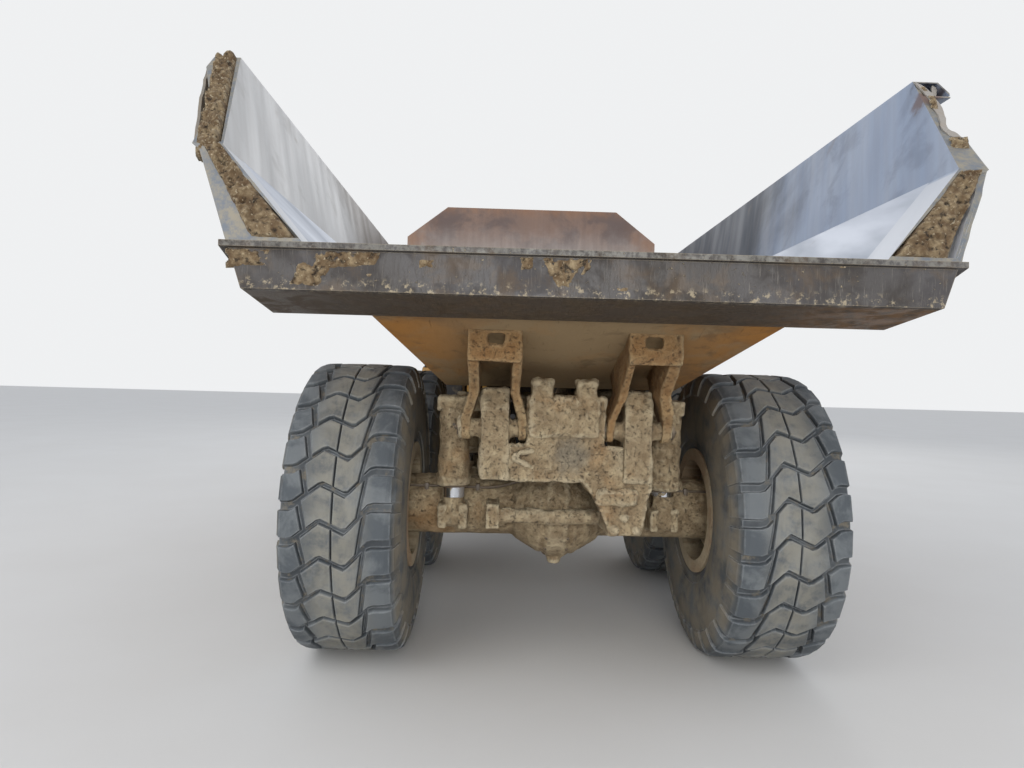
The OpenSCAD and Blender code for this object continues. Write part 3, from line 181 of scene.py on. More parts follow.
class EffectGroups:
    """Node groups that several finishes share, each built once."""

    def __init__(self) -> None:
        """Builds every group."""
        self.settle = self._settle()
        self.patches = self._patches()
        self.clods = self._clods()
        self.wear = self._wear()
        self.streaks = self._streaks()

    @staticmethod
    def _new(name: str, inputs: Sequence[tuple[str, str, object]], outputs: Sequence[tuple[str, str]]):
        """Starts a group with its sockets.

        Args:
            name: The group's name.
            inputs: Name, socket type and default of each input.
            outputs: Name and socket type of each output.

        Returns:
            The group, a board on it, its input node and its output node.
        """
        group = bpy.data.node_groups.new(name, "ShaderNodeTree")
        for label, kind, default in inputs:
            socket = group.interface.new_socket(label, in_out="INPUT", socket_type=kind)
            if default is not None:
                socket.default_value = default
        for label, kind in outputs:
            group.interface.new_socket(label, in_out="OUTPUT", socket_type=kind)
        start = group.nodes.new("NodeGroupInput")
        end = group.nodes.new("NodeGroupOutput")
        return group, Board(group), start, end

    def _settle(self) -> bpy.types.NodeTree:
        """Dust that lies where a face looks up, broken by noise."""
        group, board, start, end = self._new(
            "settled_dust",
            [
                ("Place", "NodeSocketVector", None),
                ("Facing", "NodeSocketVector", None),
                ("Grain", "NodeSocketFloat", 9.0),
                ("Amount", "NodeSocketFloat", 0.5),
            ],
            [("Mask", "NodeSocketFloat")],
        )
        up = board.put("SeparateXYZ", {0: start.outputs["Facing"]}).outputs[2]
        broad = board.put("TexNoise", {"Vector": start.outputs["Place"], "Scale": 1.7, "Detail": 3.0}).outputs["Fac"]
        fine = board.put(
            "TexNoise",
            {"Vector": start.outputs["Place"], "Scale": start.outputs["Grain"], "Detail": 6.0, "Roughness": 0.65},
        ).outputs["Fac"]
        lift = board.sums("MULTIPLY", up, 0.34)
        mixed = board.sums("ADD", board.sums("MULTIPLY", broad, 0.55), board.sums("MULTIPLY", fine, 0.6))
        total = board.sums("ADD", board.sums("ADD", mixed, lift), start.outputs["Amount"])
        board.tree.links.new(board.ramp(total, 0.9, 1.35), end.inputs["Mask"])
        return group

    def _patches(self) -> bpy.types.NodeTree:
        """Large soft patches, such as damp or faded areas."""
        group, board, start, end = self._new(
            "patches",
            [
                ("Place", "NodeSocketVector", None),
                ("Size", "NodeSocketFloat", 2.0),
                ("Cover", "NodeSocketFloat", 0.5),
            ],
            [("Mask", "NodeSocketFloat")],
        )
        node = board.put(
            "TexNoise",
            {"Vector": start.outputs["Place"], "Scale": start.outputs["Size"], "Detail": 7.0, "Roughness": 0.62, "Distortion": 0.4},
        )
        edge = board.sums("SUBTRACT", 1.0, start.outputs["Cover"])
        value = board.sums("SUBTRACT", node.outputs["Fac"], edge)
        board.tree.links.new(board.ramp(value, -0.06, 0.09), end.inputs["Mask"])
        return group

    def _clods(self) -> bpy.types.NodeTree:
        """Height and shade of dried mud: lumps, pits and grit."""
        group, board, start, end = self._new(
            "mud_clods",
            [("Place", "NodeSocketVector", None), ("Size", "NodeSocketFloat", 14.0)],
            [("Height", "NodeSocketFloat"), ("Shade", "NodeSocketFloat")],
        )
        place = start.outputs["Place"]
        lumps = board.put(
            "TexNoise", {"Vector": place, "Scale": start.outputs["Size"], "Detail": 8.0, "Roughness": 0.68}
        ).outputs["Fac"]
        cells = board.put(
            "TexVoronoi",
            {"Vector": place, "Scale": board.sums("MULTIPLY", start.outputs["Size"], 2.3), "Randomness": 1.0},
            feature="SMOOTH_F1",
        ).outputs["Distance"]
        grit = board.put(
            "TexNoise",
            {"Vector": place, "Scale": board.sums("MULTIPLY", start.outputs["Size"], 11.0), "Detail": 5.0, "Roughness": 0.7},
        ).outputs["Fac"]
        height = board.sums(
            "ADD",
            board.sums("SUBTRACT", lumps, board.sums("MULTIPLY", cells, 0.35)),
            board.sums("MULTIPLY", grit, 0.22),
        )
        board.tree.links.new(height, end.inputs["Height"])
        board.tree.links.new(board.ramp(height, 0.25, 0.75), end.inputs["Shade"])
        return group

    def _wear(self) -> bpy.types.NodeTree:
        """Chipped edges: where the rounded normal leaves the flat one."""
        group, board, start, end = self._new(
            "edge_wear",
            [
                ("Place", "NodeSocketVector", None),
                ("Facing", "NodeSocketVector", None),
                ("Rounded", "NodeSocketVector", None),
                ("Strength", "NodeSocketFloat", 1.0),
            ],
            [("Mask", "NodeSocketFloat")],
        )
        dot = board.put(
            "VectorMath", {0: start.outputs["Facing"], 1: start.outputs["Rounded"]}, operation="DOT_PRODUCT"
        ).outputs["Value"]
        turn = board.sums("MULTIPLY", board.sums("SUBTRACT", 1.0, dot), 9.0)
        rough = board.put(
            "TexNoise", {"Vector": start.outputs["Place"], "Scale": 21.0, "Detail": 8.0, "Roughness": 0.7}
        ).outputs["Fac"]
        value = board.sums("MULTIPLY", board.sums("MULTIPLY", turn, rough), start.outputs["Strength"])
        board.tree.links.new(board.ramp(value, 0.12, 0.45), end.inputs["Mask"])
        return group

    def _streaks(self) -> bpy.types.NodeTree:
        """Runs and scratches drawn out along one axis by the mapping before it."""
        group, board, start, end = self._new(
            "streaks",
            [("Drawn", "NodeSocketVector", None), ("Fine", "NodeSocketFloat", 8.0), ("Cover", "NodeSocketFloat", 0.5)],
            [("Mask", "NodeSocketFloat")],
        )
        value = board.put(
            "TexNoise",
            {"Vector": start.outputs["Drawn"], "Scale": start.outputs["Fine"], "Detail": 9.0, "Roughness": 0.7},
        ).outputs["Fac"]
        shifted = board.sums("ADD", value, board.sums("SUBTRACT", start.outputs["Cover"], 0.5))
        board.tree.links.new(board.ramp(shifted, 0.46, 0.62), end.inputs["Mask"])
        return group


class Bench:
    """The board of one material with the coordinates and groups it needs."""

    def __init__(self, name: str, groups: EffectGroups) -> None:
        """Starts a material with a Principled shader.

        Args:
            name: The material's name.
            groups: The shared effect groups.
        """
        self.material = bpy.data.materials.new(name)
        self.material.use_nodes = True
        tree = self.material.node_tree
        self.board = Board(tree)
        self.groups = groups
        self.shader = tree.nodes["Principled BSDF"]
        coordinates = self.board.put("TexCoord")
        self.place = coordinates.outputs["Object"]
        self.facing = coordinates.outputs["Normal"]

    def group(self, tree: bpy.types.NodeTree, wires: dict) -> bpy.types.Node:
        """Places one of the shared groups."""
        return self.board.put("Group", wires, node_tree=tree)

    def settled(self, amount: float, grain: float = 9.0) -> bpy.types.NodeSocket:
        """Mask of the dust that settled on faces that look up."""
        wires = {"Place": self.place, "Facing": self.facing, "Grain": grain, "Amount": amount}
        return self.group(self.groups.settle, wires).outputs["Mask"]

    def patch(self, size: float, cover: float) -> bpy.types.NodeSocket:
        """Mask of large soft patches."""
        wires = {"Place": self.place, "Size": size, "Cover": cover}
        return self.group(self.groups.patches, wires).outputs["Mask"]

    def clod(self, size: float) -> bpy.types.Node:
        """Height and shade of dried mud."""
        return self.group(self.groups.clods, {"Place": self.place, "Size": size})

    def edges(self, radius: float, strength: float = 1.0) -> bpy.types.NodeSocket:
        """Mask of the worn edges."""
        rounded = self.board.put("Bevel", {"Radius": radius}, samples=4).outputs["Normal"]
        flat = self.board.put("NewGeometry").outputs["Normal"]
        wires = {"Place": self.place, "Facing": flat, "Rounded": rounded, "Strength": strength}
        return self.group(self.groups.wear, wires).outputs["Mask"]

    def drawn(self, scale: Point, fine: float, cover: float, turn: Point = (0.0, 0.0, 0.0)) -> bpy.types.NodeSocket:
        """Mask of streaks, drawn out by the mapping's scale and leant by its turn."""
        wires = {"Drawn": self.board.stretched(self.place, scale, turn), "Fine": fine, "Cover": cover}
        return self.group(self.groups.streaks, wires).outputs["Mask"]

    def soft(self, scale: Point, fine: float, turn: Point = (0.0, 0.0, 0.0)) -> bpy.types.NodeSocket:
        """Soft shades drawn out along an axis, 0 to 1."""
        place = self.board.stretched(self.place, scale, turn)
        return self.board.ramp(self.board.noise(place, fine, 4.0, 0.5), 0.3, 0.7)

    def crest(self, low: float, high: float) -> bpy.types.NodeSocket:
        """Mask that goes from the mesh's hollows at 0 to its crests at 1."""
        point = self.board.put("NewGeometry").outputs["Pointiness"]
        return self.board.ramp(point, low, high)

    def near(self, middle: Point, reach: float) -> bpy.types.NodeSocket:
        """Mask of a spot with a ragged rim.

        Args:
            middle: The spot's middle.
            reach: Its radius in metres.

        Returns:
            The mask, 1 at the middle.
        """
        board = self.board
        gap = board.put("VectorMath", {0: self.place, 1: middle}, operation="DISTANCE").outputs["Value"]
        ragged = board.sums("MULTIPLY", board.noise(self.place, 13.0, 7.0, 0.7), reach * 1.6)
        return board.ramp(board.sums("ADD", gap, ragged), reach * 1.9, reach * 1.25)

    def band(self, value, middle: float, reach: float) -> bpy.types.NodeSocket:
        """Mask of a narrow band of a value round its middle."""
        gap = self.board.sums("ABSOLUTE", self.board.sums("SUBTRACT", value, middle))
        return self.board.ramp(gap, reach, reach * 0.3)

    def finish(self, colour, rough, height=None, depth: float = 0.01, strength: float = 1.0) -> None:
        """Feeds the shader and the surface relief.

        Args:
            colour: Colour socket or colour.
            rough: Roughness socket or number.
            height: Height socket, where the surface has relief.
            depth: Depth of the relief in metres.
            strength: Strength of the relief.
        """
        links = self.board.tree.links
        for name, value in (("Base Color", colour), ("Roughness", rough)):
            if isinstance(value, bpy.types.NodeSocket):
                links.new(value, self.shader.inputs[name])
            else:
                self.shader.inputs[name].default_value = value
        if height is not None:
            bump = self.board.put("Bump", {"Strength": strength, "Distance": depth, "Height": height})
            links.new(bump.outputs["Normal"], self.shader.inputs["Normal"])


@dataclass(frozen=True)
class CakedFrame:
    """Yellow steel under dried mud, as on the frame, axles and cylinders, with painted shade in the hollows and pits of
    the mud and a painted highlight on its crests.
    """

    mud: Colour = srgb(178, 159, 126)
    damp: Colour = srgb(126, 106, 78)
    # pale dust and crumbs, also a painted highlight on the crests
    pale: Colour = srgb(204, 189, 158)
    # painted shade for the hollows and pits of the mud
    cavity_shade: Colour = srgb(66, 53, 40)
    paint: Colour = srgb(158, 112, 58)
    steel: Colour = srgb(112, 112, 104)
    bare: float = 0.36
    oily: float = 0.3
    relief: float = 0.03
    # spot on the tail plate where the mud is rubbed off
    rubbed: Point = (0.02, -4.22, 1.17)
    rubbed_reach: float = 0.11

    def make(self, name: str, groups: EffectGroups) -> bpy.types.Material:
        """Builds the material."""
        bench = Bench(name, groups)
        board = bench.board
        clod = bench.clod(11.0)
        tone = board.blend(clod.outputs["Shade"], self.damp, self.mud)
        tone = board.blend(board.share(bench.settled(0.14), 0.6), tone, self.pale)
        # Crests of the mesh lightened: painted highlight
        tone = board.blend(board.share(bench.crest(0.5, 0.56), 0.55), tone, self.pale)
        # Hollows of the mesh darkened: painted shade
        hollow_shade = board.sums("SUBTRACT", 1.0, bench.crest(0.38, 0.49))
        tone = board.blend(board.share(hollow_shade, 0.75), tone, self.cavity_shade)
        tone = board.blend(board.share(bench.patch(3.1, self.oily), 0.55), tone, self.damp)
        tone = board.blend(board.share(bench.patch(2.2, self.bare), 0.35), tone, self.paint)
        tone = board.blend(board.share(bench.near(self.rubbed, self.rubbed_reach), 0.45), tone, self.steel)
        pits = board.ramp(board.noise(bench.place, 62.0, 7.0, 0.8), 0.45, 0.33)
        crumbs = board.ramp(board.noise(bench.place, 130.0, 4.0, 0.6), 0.6, 0.7)
        tone = board.blend(board.share(crumbs, 0.4), tone, self.pale)
        # Pits darkened: painted shade in them
        tone = board.blend(board.share(pits, 0.42), tone, self.cavity_shade)
        rough = board.blend_value(clod.outputs["Shade"], 0.8, 0.97)
        height = board.sums("SUBTRACT", board.sums("ADD", clod.outputs["Height"], board.share(crumbs, 0.14)), board.share(pits, 0.34))
        bench.finish(tone, rough, height, self.relief, 1.0)
        return bench.material


@dataclass(frozen=True)
class DustyPaint:
    """Faded machine paint with dust, chips and runs."""

    paint: Colour = srgb(203, 142, 46)
    faded: Colour = srgb(186, 143, 74)
    dust: Colour = srgb(172, 153, 122)
    chip: Colour = srgb(86, 62, 44)
    dusting: float = 0.12
    gloss: float = 0.42

    def make(self, name: str, groups: EffectGroups) -> bpy.types.Material:
        """Builds the material."""
        bench = Bench(name, groups)
        board = bench.board
        tone = board.blend(bench.patch(1.3, 0.5), self.paint, self.faded)
        runs = bench.drawn((2.2, 2.2, 0.25), 6.0, 0.42)
        tone = board.blend(board.sums("MULTIPLY", runs, 0.45), tone, self.dust)
        dust = bench.settled(self.dusting, 7.0)
        tone = board.blend(board.sums("MULTIPLY", dust, 0.85), tone, self.dust)
        chips = bench.edges(0.012, 1.2)
        tone = board.blend(chips, tone, self.chip)
        rough = board.blend_value(dust, self.gloss, 0.9)
        fine = board.noise(bench.place, 90.0, 4.0, 0.6)
        bench.finish(tone, rough, board.sums("ADD", fine, board.sums("MULTIPLY", chips, -1.5)), 0.0012, 0.7)
        return bench.material


@dataclass(frozen=True)
class OrangeUnderside:
    """Orange paint of the body's underside, dusted to beige in the middle."""

    paint: Colour = srgb(160, 108, 44)
    deep: Colour = srgb(122, 84, 44)
    dust: Colour = srgb(140, 118, 86)
    # how far forward the load has scoured the floor
    scoured_to: float = -0.27
    floor_z: float = 1.54
    wall_lean: float = 0.4717
    mud: Colour = srgb(96, 76, 52)
    steel: Colour = srgb(152, 158, 168)
    bright: Colour = srgb(182, 187, 197)
    stain: Colour = srgb(120, 108, 94)

    def make(self, name: str, groups: EffectGroups) -> bpy.types.Material:
        """Builds the material: scoured steel inside, paint outside."""
        bench = Bench(name, groups)
        board = bench.board
        place = board.parts(bench.place)
        rise = board.share(board.sums("SUBTRACT", place[2], self.floor_z), self.wall_lean)
        behind = board.ramp(board.sums("SUBTRACT", place[1], rise), self.scoured_to + 0.01, self.scoured_to)
        inward = board.sums("MULTIPLY", board.ramp(board.parts(bench.facing)[2], 0.05, 0.2), behind)
        # Outside: paint at the sides, dust in the middle, runs and clods over both
        outer = board.blend(bench.patch(1.9, 0.5), self.paint, self.deep)
        middle = board.ramp(board.sums("ABSOLUTE", place[0]), 0.95, 0.25)
        cover = board.sums("ADD", board.share(middle, 0.85), board.share(bench.patch(2.6, 0.5), 0.5), clamp=True)
        outer = board.blend(cover, outer, self.dust)
        outer = board.blend(board.share(bench.patch(7.0, 0.4), 0.5), outer, self.mud)
        outer = board.blend(board.share(bench.drawn((3.0, 0.5, 0.5), 5.0, 0.4), 0.3), outer, self.deep)
        # Inside: bright steel drawn out along the load's way
        scoured = bench.soft((3.0, 0.3, 1.0), 2.2, (0.0, 0.0, 0.25))
        inner = board.blend(scoured, self.steel, self.bright)
        # Darker and browner towards the front
        front = board.ramp(place[1], -2.4, 0.0)
        inner = board.blend(board.share(front, 0.55), inner, self.stain)
        inner = board.blend(board.share(bench.patch(1.6, 0.36), 0.3), inner, self.stain)
        scratches = bench.drawn((14.0, 0.35, 8.0), 6.0, 0.36)
        inner = board.blend(board.share(scratches, 0.3), inner, self.steel)
        tone = board.blend(inward, outer, inner)
        board.tree.links.new(board.share(inward, 0.2), bench.shader.inputs["Metallic"])
        rough = board.blend_value(inward, 0.88, board.blend_value(scoured, 0.6, 0.44))
        height = board.sums("ADD", bench.clod(9.0).outputs["Height"], scratches)
        bench.finish(tone, rough, board.sums("MULTIPLY", height, board.blend_value(inward, 1.0, 0.12)), 0.006, 0.7)
        return bench.material


@dataclass(frozen=True)
class ScouredSteel:
    """Upper side walls: steel polished by loads inside, with painted shade towards the front and painted light below
    the fold; dusty paint outside.
    """

    left: Colour = srgb(178, 177, 175)
    right: Colour = srgb(142, 154, 174)
    # shaded tones of each wall: painted shade towards the front, also used for dark patches
    left_dark: Colour = srgb(96, 88, 80)
    right_dark: Colour = srgb(54, 62, 74)
    bright: Colour = srgb(196, 198, 202)
    # painted light on the plate below the fold
    pale: Colour = srgb(192, 194, 198)
    stain: Colour = srgb(118, 106, 94)
    plate: Colour = srgb(98, 104, 112)
    plate_dust: Colour = srgb(132, 125, 110)
    plate_edge: Colour = srgb(132, 129, 122)
    rust: Colour = srgb(96, 66, 52)
    shade: Colour = srgb(50, 40, 42)
    paint: Colour = srgb(158, 108, 44)
    dust: Colour = srgb(148, 130, 102)
    grime: Colour = srgb(70, 56, 44)
    # where the painted shade on the walls starts and is full, along the truck
    shade_from: float = -4.0
    shade_to: float = -2.6
    left_ahead: float = -1.1
    foot_y: float = -0.27
    floor_z: float = 1.54
    wall_lean: float = 0.4717
    # the torn opening's middle, and the stain at its foot
    opening: Point = (1.664, -4.42, 2.955)
    stain_at: Point = (1.595, -4.55, 2.88)
    fold_z: float = 2.404

    def make(self, name: str, groups: EffectGroups) -> bpy.types.Material:
        """Builds the material: steel inside, dusty paint outside."""
        bench = Bench(name, groups)
        board = bench.board
        place = board.parts(bench.place)
        lean = (0.5, 0.0, 0.0)
        right = board.ramp(place[0], -0.1, 0.1)
        runs = bench.soft((1.0, 3.4, 0.4), 1.6, lean)
        fine = bench.soft((2.0, 11.0, 0.8), 2.4, lean)
        pale = board.blend(right, self.left, self.right)
        dark = board.blend(right, self.left_dark, self.right_dark)
        # Painted shade: the walls darken towards the front, the left one from further forward
        broad = board.noise(bench.place, 0.9, 5.0, 0.6)
        along = board.sums("ADD", place[1], board.sums("MULTIPLY", board.sums("SUBTRACT", broad, 0.5), 3.0))
        along = board.sums("ADD", along, board.blend_value(right, self.left_ahead, 0.0))
        depth = board.ramp(along, self.shade_from, self.shade_to)
        tone = board.blend(depth, pale, dark)
        tone = board.blend(board.share(runs, 0.16), tone, self.bright)
        tone = board.blend(board.share(fine, 0.11), tone, self.stain)
        tone = board.blend(board.share(bench.patch(3.2, 0.42), 0.24), tone, dark)
        # Painted light: paler below the fold, where the plate faces up
        lower = board.ramp(place[2], self.fold_z - 0.004, self.fold_z - 0.02)
        tone = board.blend(board.share(lower, 0.85), tone, self.pale)
        rust = board.sums("MULTIPLY", bench.patch(4.0, 0.34), board.ramp(place[2], 2.6, 2.95))
        tone = board.blend(board.share(rust, 0.4), tone, self.stain)
        nicks = bench.drawn((3.0, 9.0, 1.4), 9.0, 0.24, lean)
        tone = board.blend(board.share(nicks, 0.5), tone, self.grime)
        # The way a face looks tells the inside from the outside
        outer = board.ramp(board.sums("MULTIPLY", board.parts(bench.facing)[0], place[0]), 0.1, 0.5)
        paint = board.blend(bench.patch(1.7, 0.5), self.paint, self.dust)
        paint = board.blend(board.share(bench.drawn((2.0, 2.4, 0.3), 3.0, 0.42), 0.5), paint, self.grime)
        paint = board.blend(bench.edges(0.012, 1.3), paint, self.grime)
        tone = board.blend(outer, tone, paint)
        # The shelf ahead of the front wall is painted too
        rise = board.share(board.sums("SUBTRACT", place[2], self.floor_z), self.wall_lean)
        ahead = board.ramp(board.sums("SUBTRACT", place[1], rise), self.foot_y, self.foot_y + 0.02)
        shelf = board.sums("MULTIPLY", ahead, board.ramp(place[2], 2.3, 2.2))
        tone = board.blend(shelf, tone, paint)
        # Plates that close the walls' ends
        ends = board.ramp(board.sums("MULTIPLY", board.parts(bench.facing)[1], -1.0), 0.52, 0.66)
        worn = board.blend(board.ramp(board.noise(bench.place, 22.0, 7.0, 0.75), 0.36, 0.64), self.plate, self.plate_dust)
        tone = board.blend(ends, tone, board.blend(bench.edges(0.006, 1.0), worn, self.plate_edge))
        tone = board.blend(board.share(bench.near(self.stain_at, 0.1), 0.75), tone, self.rust)
        tone = board.blend(board.share(bench.near(self.opening, 0.08), 0.92), tone, self.shade)
        board.tree.links.new(board.share(board.sums("SUBTRACT", 1.0, outer), 0.2), bench.shader.inputs["Metallic"])
        rough = board.blend_value(outer, board.blend_value(runs, 0.62, 0.48), 0.85)
        bench.finish(tone, rough, board.sums("ADD", nicks, board.share(board.noise(bench.place, 26.0), 0.6)), 0.0012, 0.6)
        return bench.material


@dataclass(frozen=True)
class RustyGuard:
    """Brown-purple guard and front wall, rusty at its rim, paler towards the floor."""

    rust: Colour = srgb(130, 106, 92)
    dark: Colour = srgb(102, 86, 80)
    orange: Colour = srgb(152, 110, 78)
    pale: Colour = srgb(166, 156, 148)
    scratch: Colour = srgb(180, 166, 154)
    # the guard's top and half width, where the paint has burnt to rust
    top: float = 3.626
    half: float = 1.488

    def make(self, name: str, groups: EffectGroups) -> bpy.types.Material:
        """Builds the material."""
        bench = Bench(name, groups)
        board = bench.board
        place = board.parts(bench.place)
        mottle = board.noise(bench.place, 5.0, 7.0, 0.7)
        tone = board.blend(bench.patch(2.4, 0.5), self.rust, self.dark)
        low = board.ramp(board.sums("ADD", place[2], board.share(mottle, 0.3)), 3.62, 3.2)
        # Only the side that the load scours
        low = board.sums("MULTIPLY", low, board.ramp(board.parts(bench.facing)[1], 0.0, -0.2))
        tone = board.blend(board.share(low, 0.75), tone, self.pale)
        rim = board.ramp(place[2], self.top - 0.14, self.top)
        side = board.ramp(board.sums("ABSOLUTE", place[0]), self.half - 0.45, self.half)
        burnt = board.sums("MULTIPLY", board.sums("MAXIMUM", rim, side), board.ramp(mottle, 0.3, 0.6))
        tone = board.blend(board.share(burnt, 0.6), tone, self.orange)
        marks = bench.drawn((1.0, 6.0, 7.0), 5.0, 0.34)
        tone = board.blend(board.share(marks, 0.3), tone, self.scratch)
        runs = bench.soft((6.0, 6.0, 0.5), 2.5)
        tone = board.blend(board.share(runs, 0.3), tone, self.dark)
        tone = board.blend(board.share(bench.edges(0.01, 1.2), 0.6), tone, self.orange)
        rough = board.blend_value(mottle, 0.6, 0.9)
        bench.finish(tone, rough, board.noise(bench.place, 55.0, 6.0, 0.7), 0.003, 0.6)
        return bench.material


@dataclass(frozen=True)
class BlackBeam:
    """Worn near-black tail beam: scratched face, pale lip, brown underside."""

    black: Colour = srgb(52, 47, 43)
    blue: Colour = srgb(68, 65, 65)
    scratch: Colour = srgb(116, 111, 104)
    brown: Colour = srgb(86, 69, 49)
    orange: Colour = srgb(118, 84, 46)
    chip: Colour = srgb(156, 142, 116)
    lip: Colour = srgb(108, 105, 98)
    mud: Colour = srgb(120, 102, 76)
    # heights of the fold and of the lip's lower edge
    fold_z: float = 1.845
    lip_z: float = 1.994

    def make(self, name: str, groups: EffectGroups) -> bpy.types.Material:
        """Builds the material."""
        bench = Bench(name, groups)
        board = bench.board
        place = board.parts(bench.place)
        mottle = board.noise(bench.place, 19.0, 8.0, 0.75)
        tone = board.blend(bench.soft((1.0, 1.0, 0.6), 3.0), self.black, self.blue)
        lines = bench.drawn((30.0, 2.0, 2.6), 5.0, 0.44)
        tone = board.blend(board.share(lines, 0.5), tone, self.scratch)
        grime = bench.patch(6.0, 0.46)
        tone = board.blend(board.share(grime, 0.5), tone, self.brown)
        speckle = board.noise(bench.place, 42.0, 7.0, 0.75)
        tone = board.blend(board.share(board.ramp(speckle, 0.45, 0.3), 0.6), tone, self.black)
        # Chips along the fold, denser towards the middle
        fold = board.sums("MULTIPLY", bench.band(place[2], self.fold_z + 0.01, 0.045), board.ramp(speckle, 0.54, 0.6))
        tone = board.blend(board.share(fold, 0.75), tone, self.chip)
        below = board.ramp(place[2], self.fold_z, self.fold_z - 0.006)
        right = board.sums("MULTIPLY", board.ramp(place[0], 0.55, 1.2), board.ramp(mottle, 0.34, 0.58))
        under = board.blend(mottle, self.black, self.brown)
        under = board.blend(board.share(bench.drawn((1.2, 7.0, 7.0), 4.0, 0.4), 0.5), under, self.brown)
        under = board.blend(board.share(right, 0.8), under, self.orange)
        tone = board.blend(below, tone, under)
        lip = board.sums("MULTIPLY", board.ramp(place[2], self.lip_z - 0.001, self.lip_z + 0.003), board.ramp(speckle, 0.4, 0.6))
        tone = board.blend(board.share(lip, 0.9), tone, self.lip)
        specks = board.ramp(board.noise(bench.place, 64.0, 4.0, 0.6), 0.66, 0.72)
        tone = board.blend(board.share(specks, 0.7), tone, self.chip)
        tone = board.blend(board.share(bench.edges(0.006, 1.0), 0.35), tone, self.chip)
        tone = board.blend(board.share(bench.settled(0.0, 12.0), 0.7), tone, self.mud)
        height = board.sums("ADD", board.share(mottle, 0.6), board.share(lines, 0.2))
        rough = board.blend_value(bench.patch(7.0, 0.5), 0.5, 0.85)
        bench.finish(tone, rough, board.sums("ADD", height, specks), 0.005, 0.8)
        return bench.material


@dataclass(frozen=True)
class TyreRubber:
    """Blue-grey rubber, dusty on the middle blocks and in the grooves, with painted shade in the grooves and cuts and a
    painted sheen on the blocks' edges.
    """

    rubber: Colour = srgb(70, 75, 79)
    worn: Colour = srgb(95, 99, 101)
    # painted sheen on the blocks' edges
    painted_sheen: Colour = srgb(146, 149, 150)
    dust: Colour = srgb(144, 138, 122)
    clay: Colour = srgb(132, 121, 101)
    # painted shade for the grooves and cuts
    recess_shade: Colour = srgb(34, 36, 39)
    radius: float = 0.81
    half_tread: float = 0.265

    def make(self, name: str, groups: EffectGroups, middle: Point) -> bpy.types.Material:
        """Builds the material for a tyre whose middle is given.

        Args:
            name: The material's name.
            groups: The shared effect groups.
            middle: The middle of the wheel.

        Returns:
            The material.
        """
        bench = Bench(name, groups)
        board = bench.board
        offset = board.put("VectorMath", {0: bench.place, 1: middle}, operation="SUBTRACT")
        axes = board.parts(offset.outputs[0])
        across = board.sums("ABSOLUTE", axes[0])
        flat = board.put("CombineXYZ", {1: axes[1], 2: axes[2]})
        out = board.put("VectorMath", {0: flat.outputs[0]}, operation="LENGTH").outputs["Value"]
        mottle = board.noise(bench.place, 13.0, 7.0, 0.7)
        tone = board.blend(bench.patch(4.5, 0.5), self.rubber, self.worn)
        # Dust on the tops of the middle blocks
        centre = board.ramp(board.sums("ADD", across, board.share(mottle, 0.14)), 0.27, 0.13)
        top = board.ramp(out, self.radius - 0.012, self.radius - 0.002)
        top_dust = board.sums("MULTIPLY", board.sums("MULTIPLY", centre, top), board.ramp(mottle, 0.25, 0.6))
        tone = board.blend(board.share(top_dust, 0.55), tone, self.dust)
        # Painted shade on the groove floors, clay packed in the grooves and dust on the sidewalls
        groove = board.ramp(out, self.radius - 0.014, self.radius - 0.024)
        inside = board.ramp(across, self.half_tread + 0.01, self.half_tread - 0.02)
        packed = board.sums("MULTIPLY", board.sums("MULTIPLY", groove, inside), board.ramp(mottle, 0.5, 0.66))
        tone = board.blend(board.share(board.sums("MULTIPLY", groove, inside), 0.4), tone, self.recess_shade)
        tone = board.blend(board.share(packed, 0.6), tone, self.clay)
        wall = board.ramp(across, self.half_tread - 0.005, self.half_tread + 0.02)
        rings = board.noise(flat.outputs[0], 7.0, 6.0, 0.6)
        tone = board.blend(board.share(board.sums("MULTIPLY", wall, board.ramp(rings, 0.3, 0.6)), 0.7), tone, self.clay)
        # Blocks' edges worn, with a painted sheen on them; cuts darkened with painted shade, and small pits
        rubbed = board.share(bench.edges(0.012, 1.0), 0.55)
        tone = board.blend(board.sums("MULTIPLY", rubbed, board.ramp(mottle, 0.7, 0.35)), tone, self.painted_sheen)
        cuts = bench.drawn((3.0, 3.0, 3.0), 9.0, 0.3)
        tone = board.blend(board.share(cuts, 0.5), tone, self.recess_shade)
        fine = board.noise(bench.place, 120.0, 5.0, 0.7)
        height = board.sums("SUBTRACT", board.share(fine, 0.4), cuts)
        bench.finish(tone, board.blend_value(mottle, 0.6, 0.92), height, 0.003, 0.7)
        return bench.material


@dataclass(frozen=True)
class DarkIron:
    """Dark paint under dust: grille, rails, blocks, mirrors."""

    base: Colour = srgb(52, 51, 50)
    dust: Colour = srgb(141, 125, 98)
    dusting: float = 0.08

    def make(self, name: str, groups: EffectGroups) -> bpy.types.Material:
        """Builds the material."""
        bench = Bench(name, groups)
        board = bench.board
        mask = bench.settled(self.dusting, 11.0)
        tone = board.blend(board.sums("MULTIPLY", mask, 0.8), self.base, self.dust)
        tone = board.blend(board.sums("MULTIPLY", bench.patch(6.0, 0.4), 0.3), tone, self.dust)
        bench.finish(tone, board.blend_value(mask, 0.5, 0.9), board.noise(bench.place, 80.0), 0.0015, 0.6)
        return bench.material


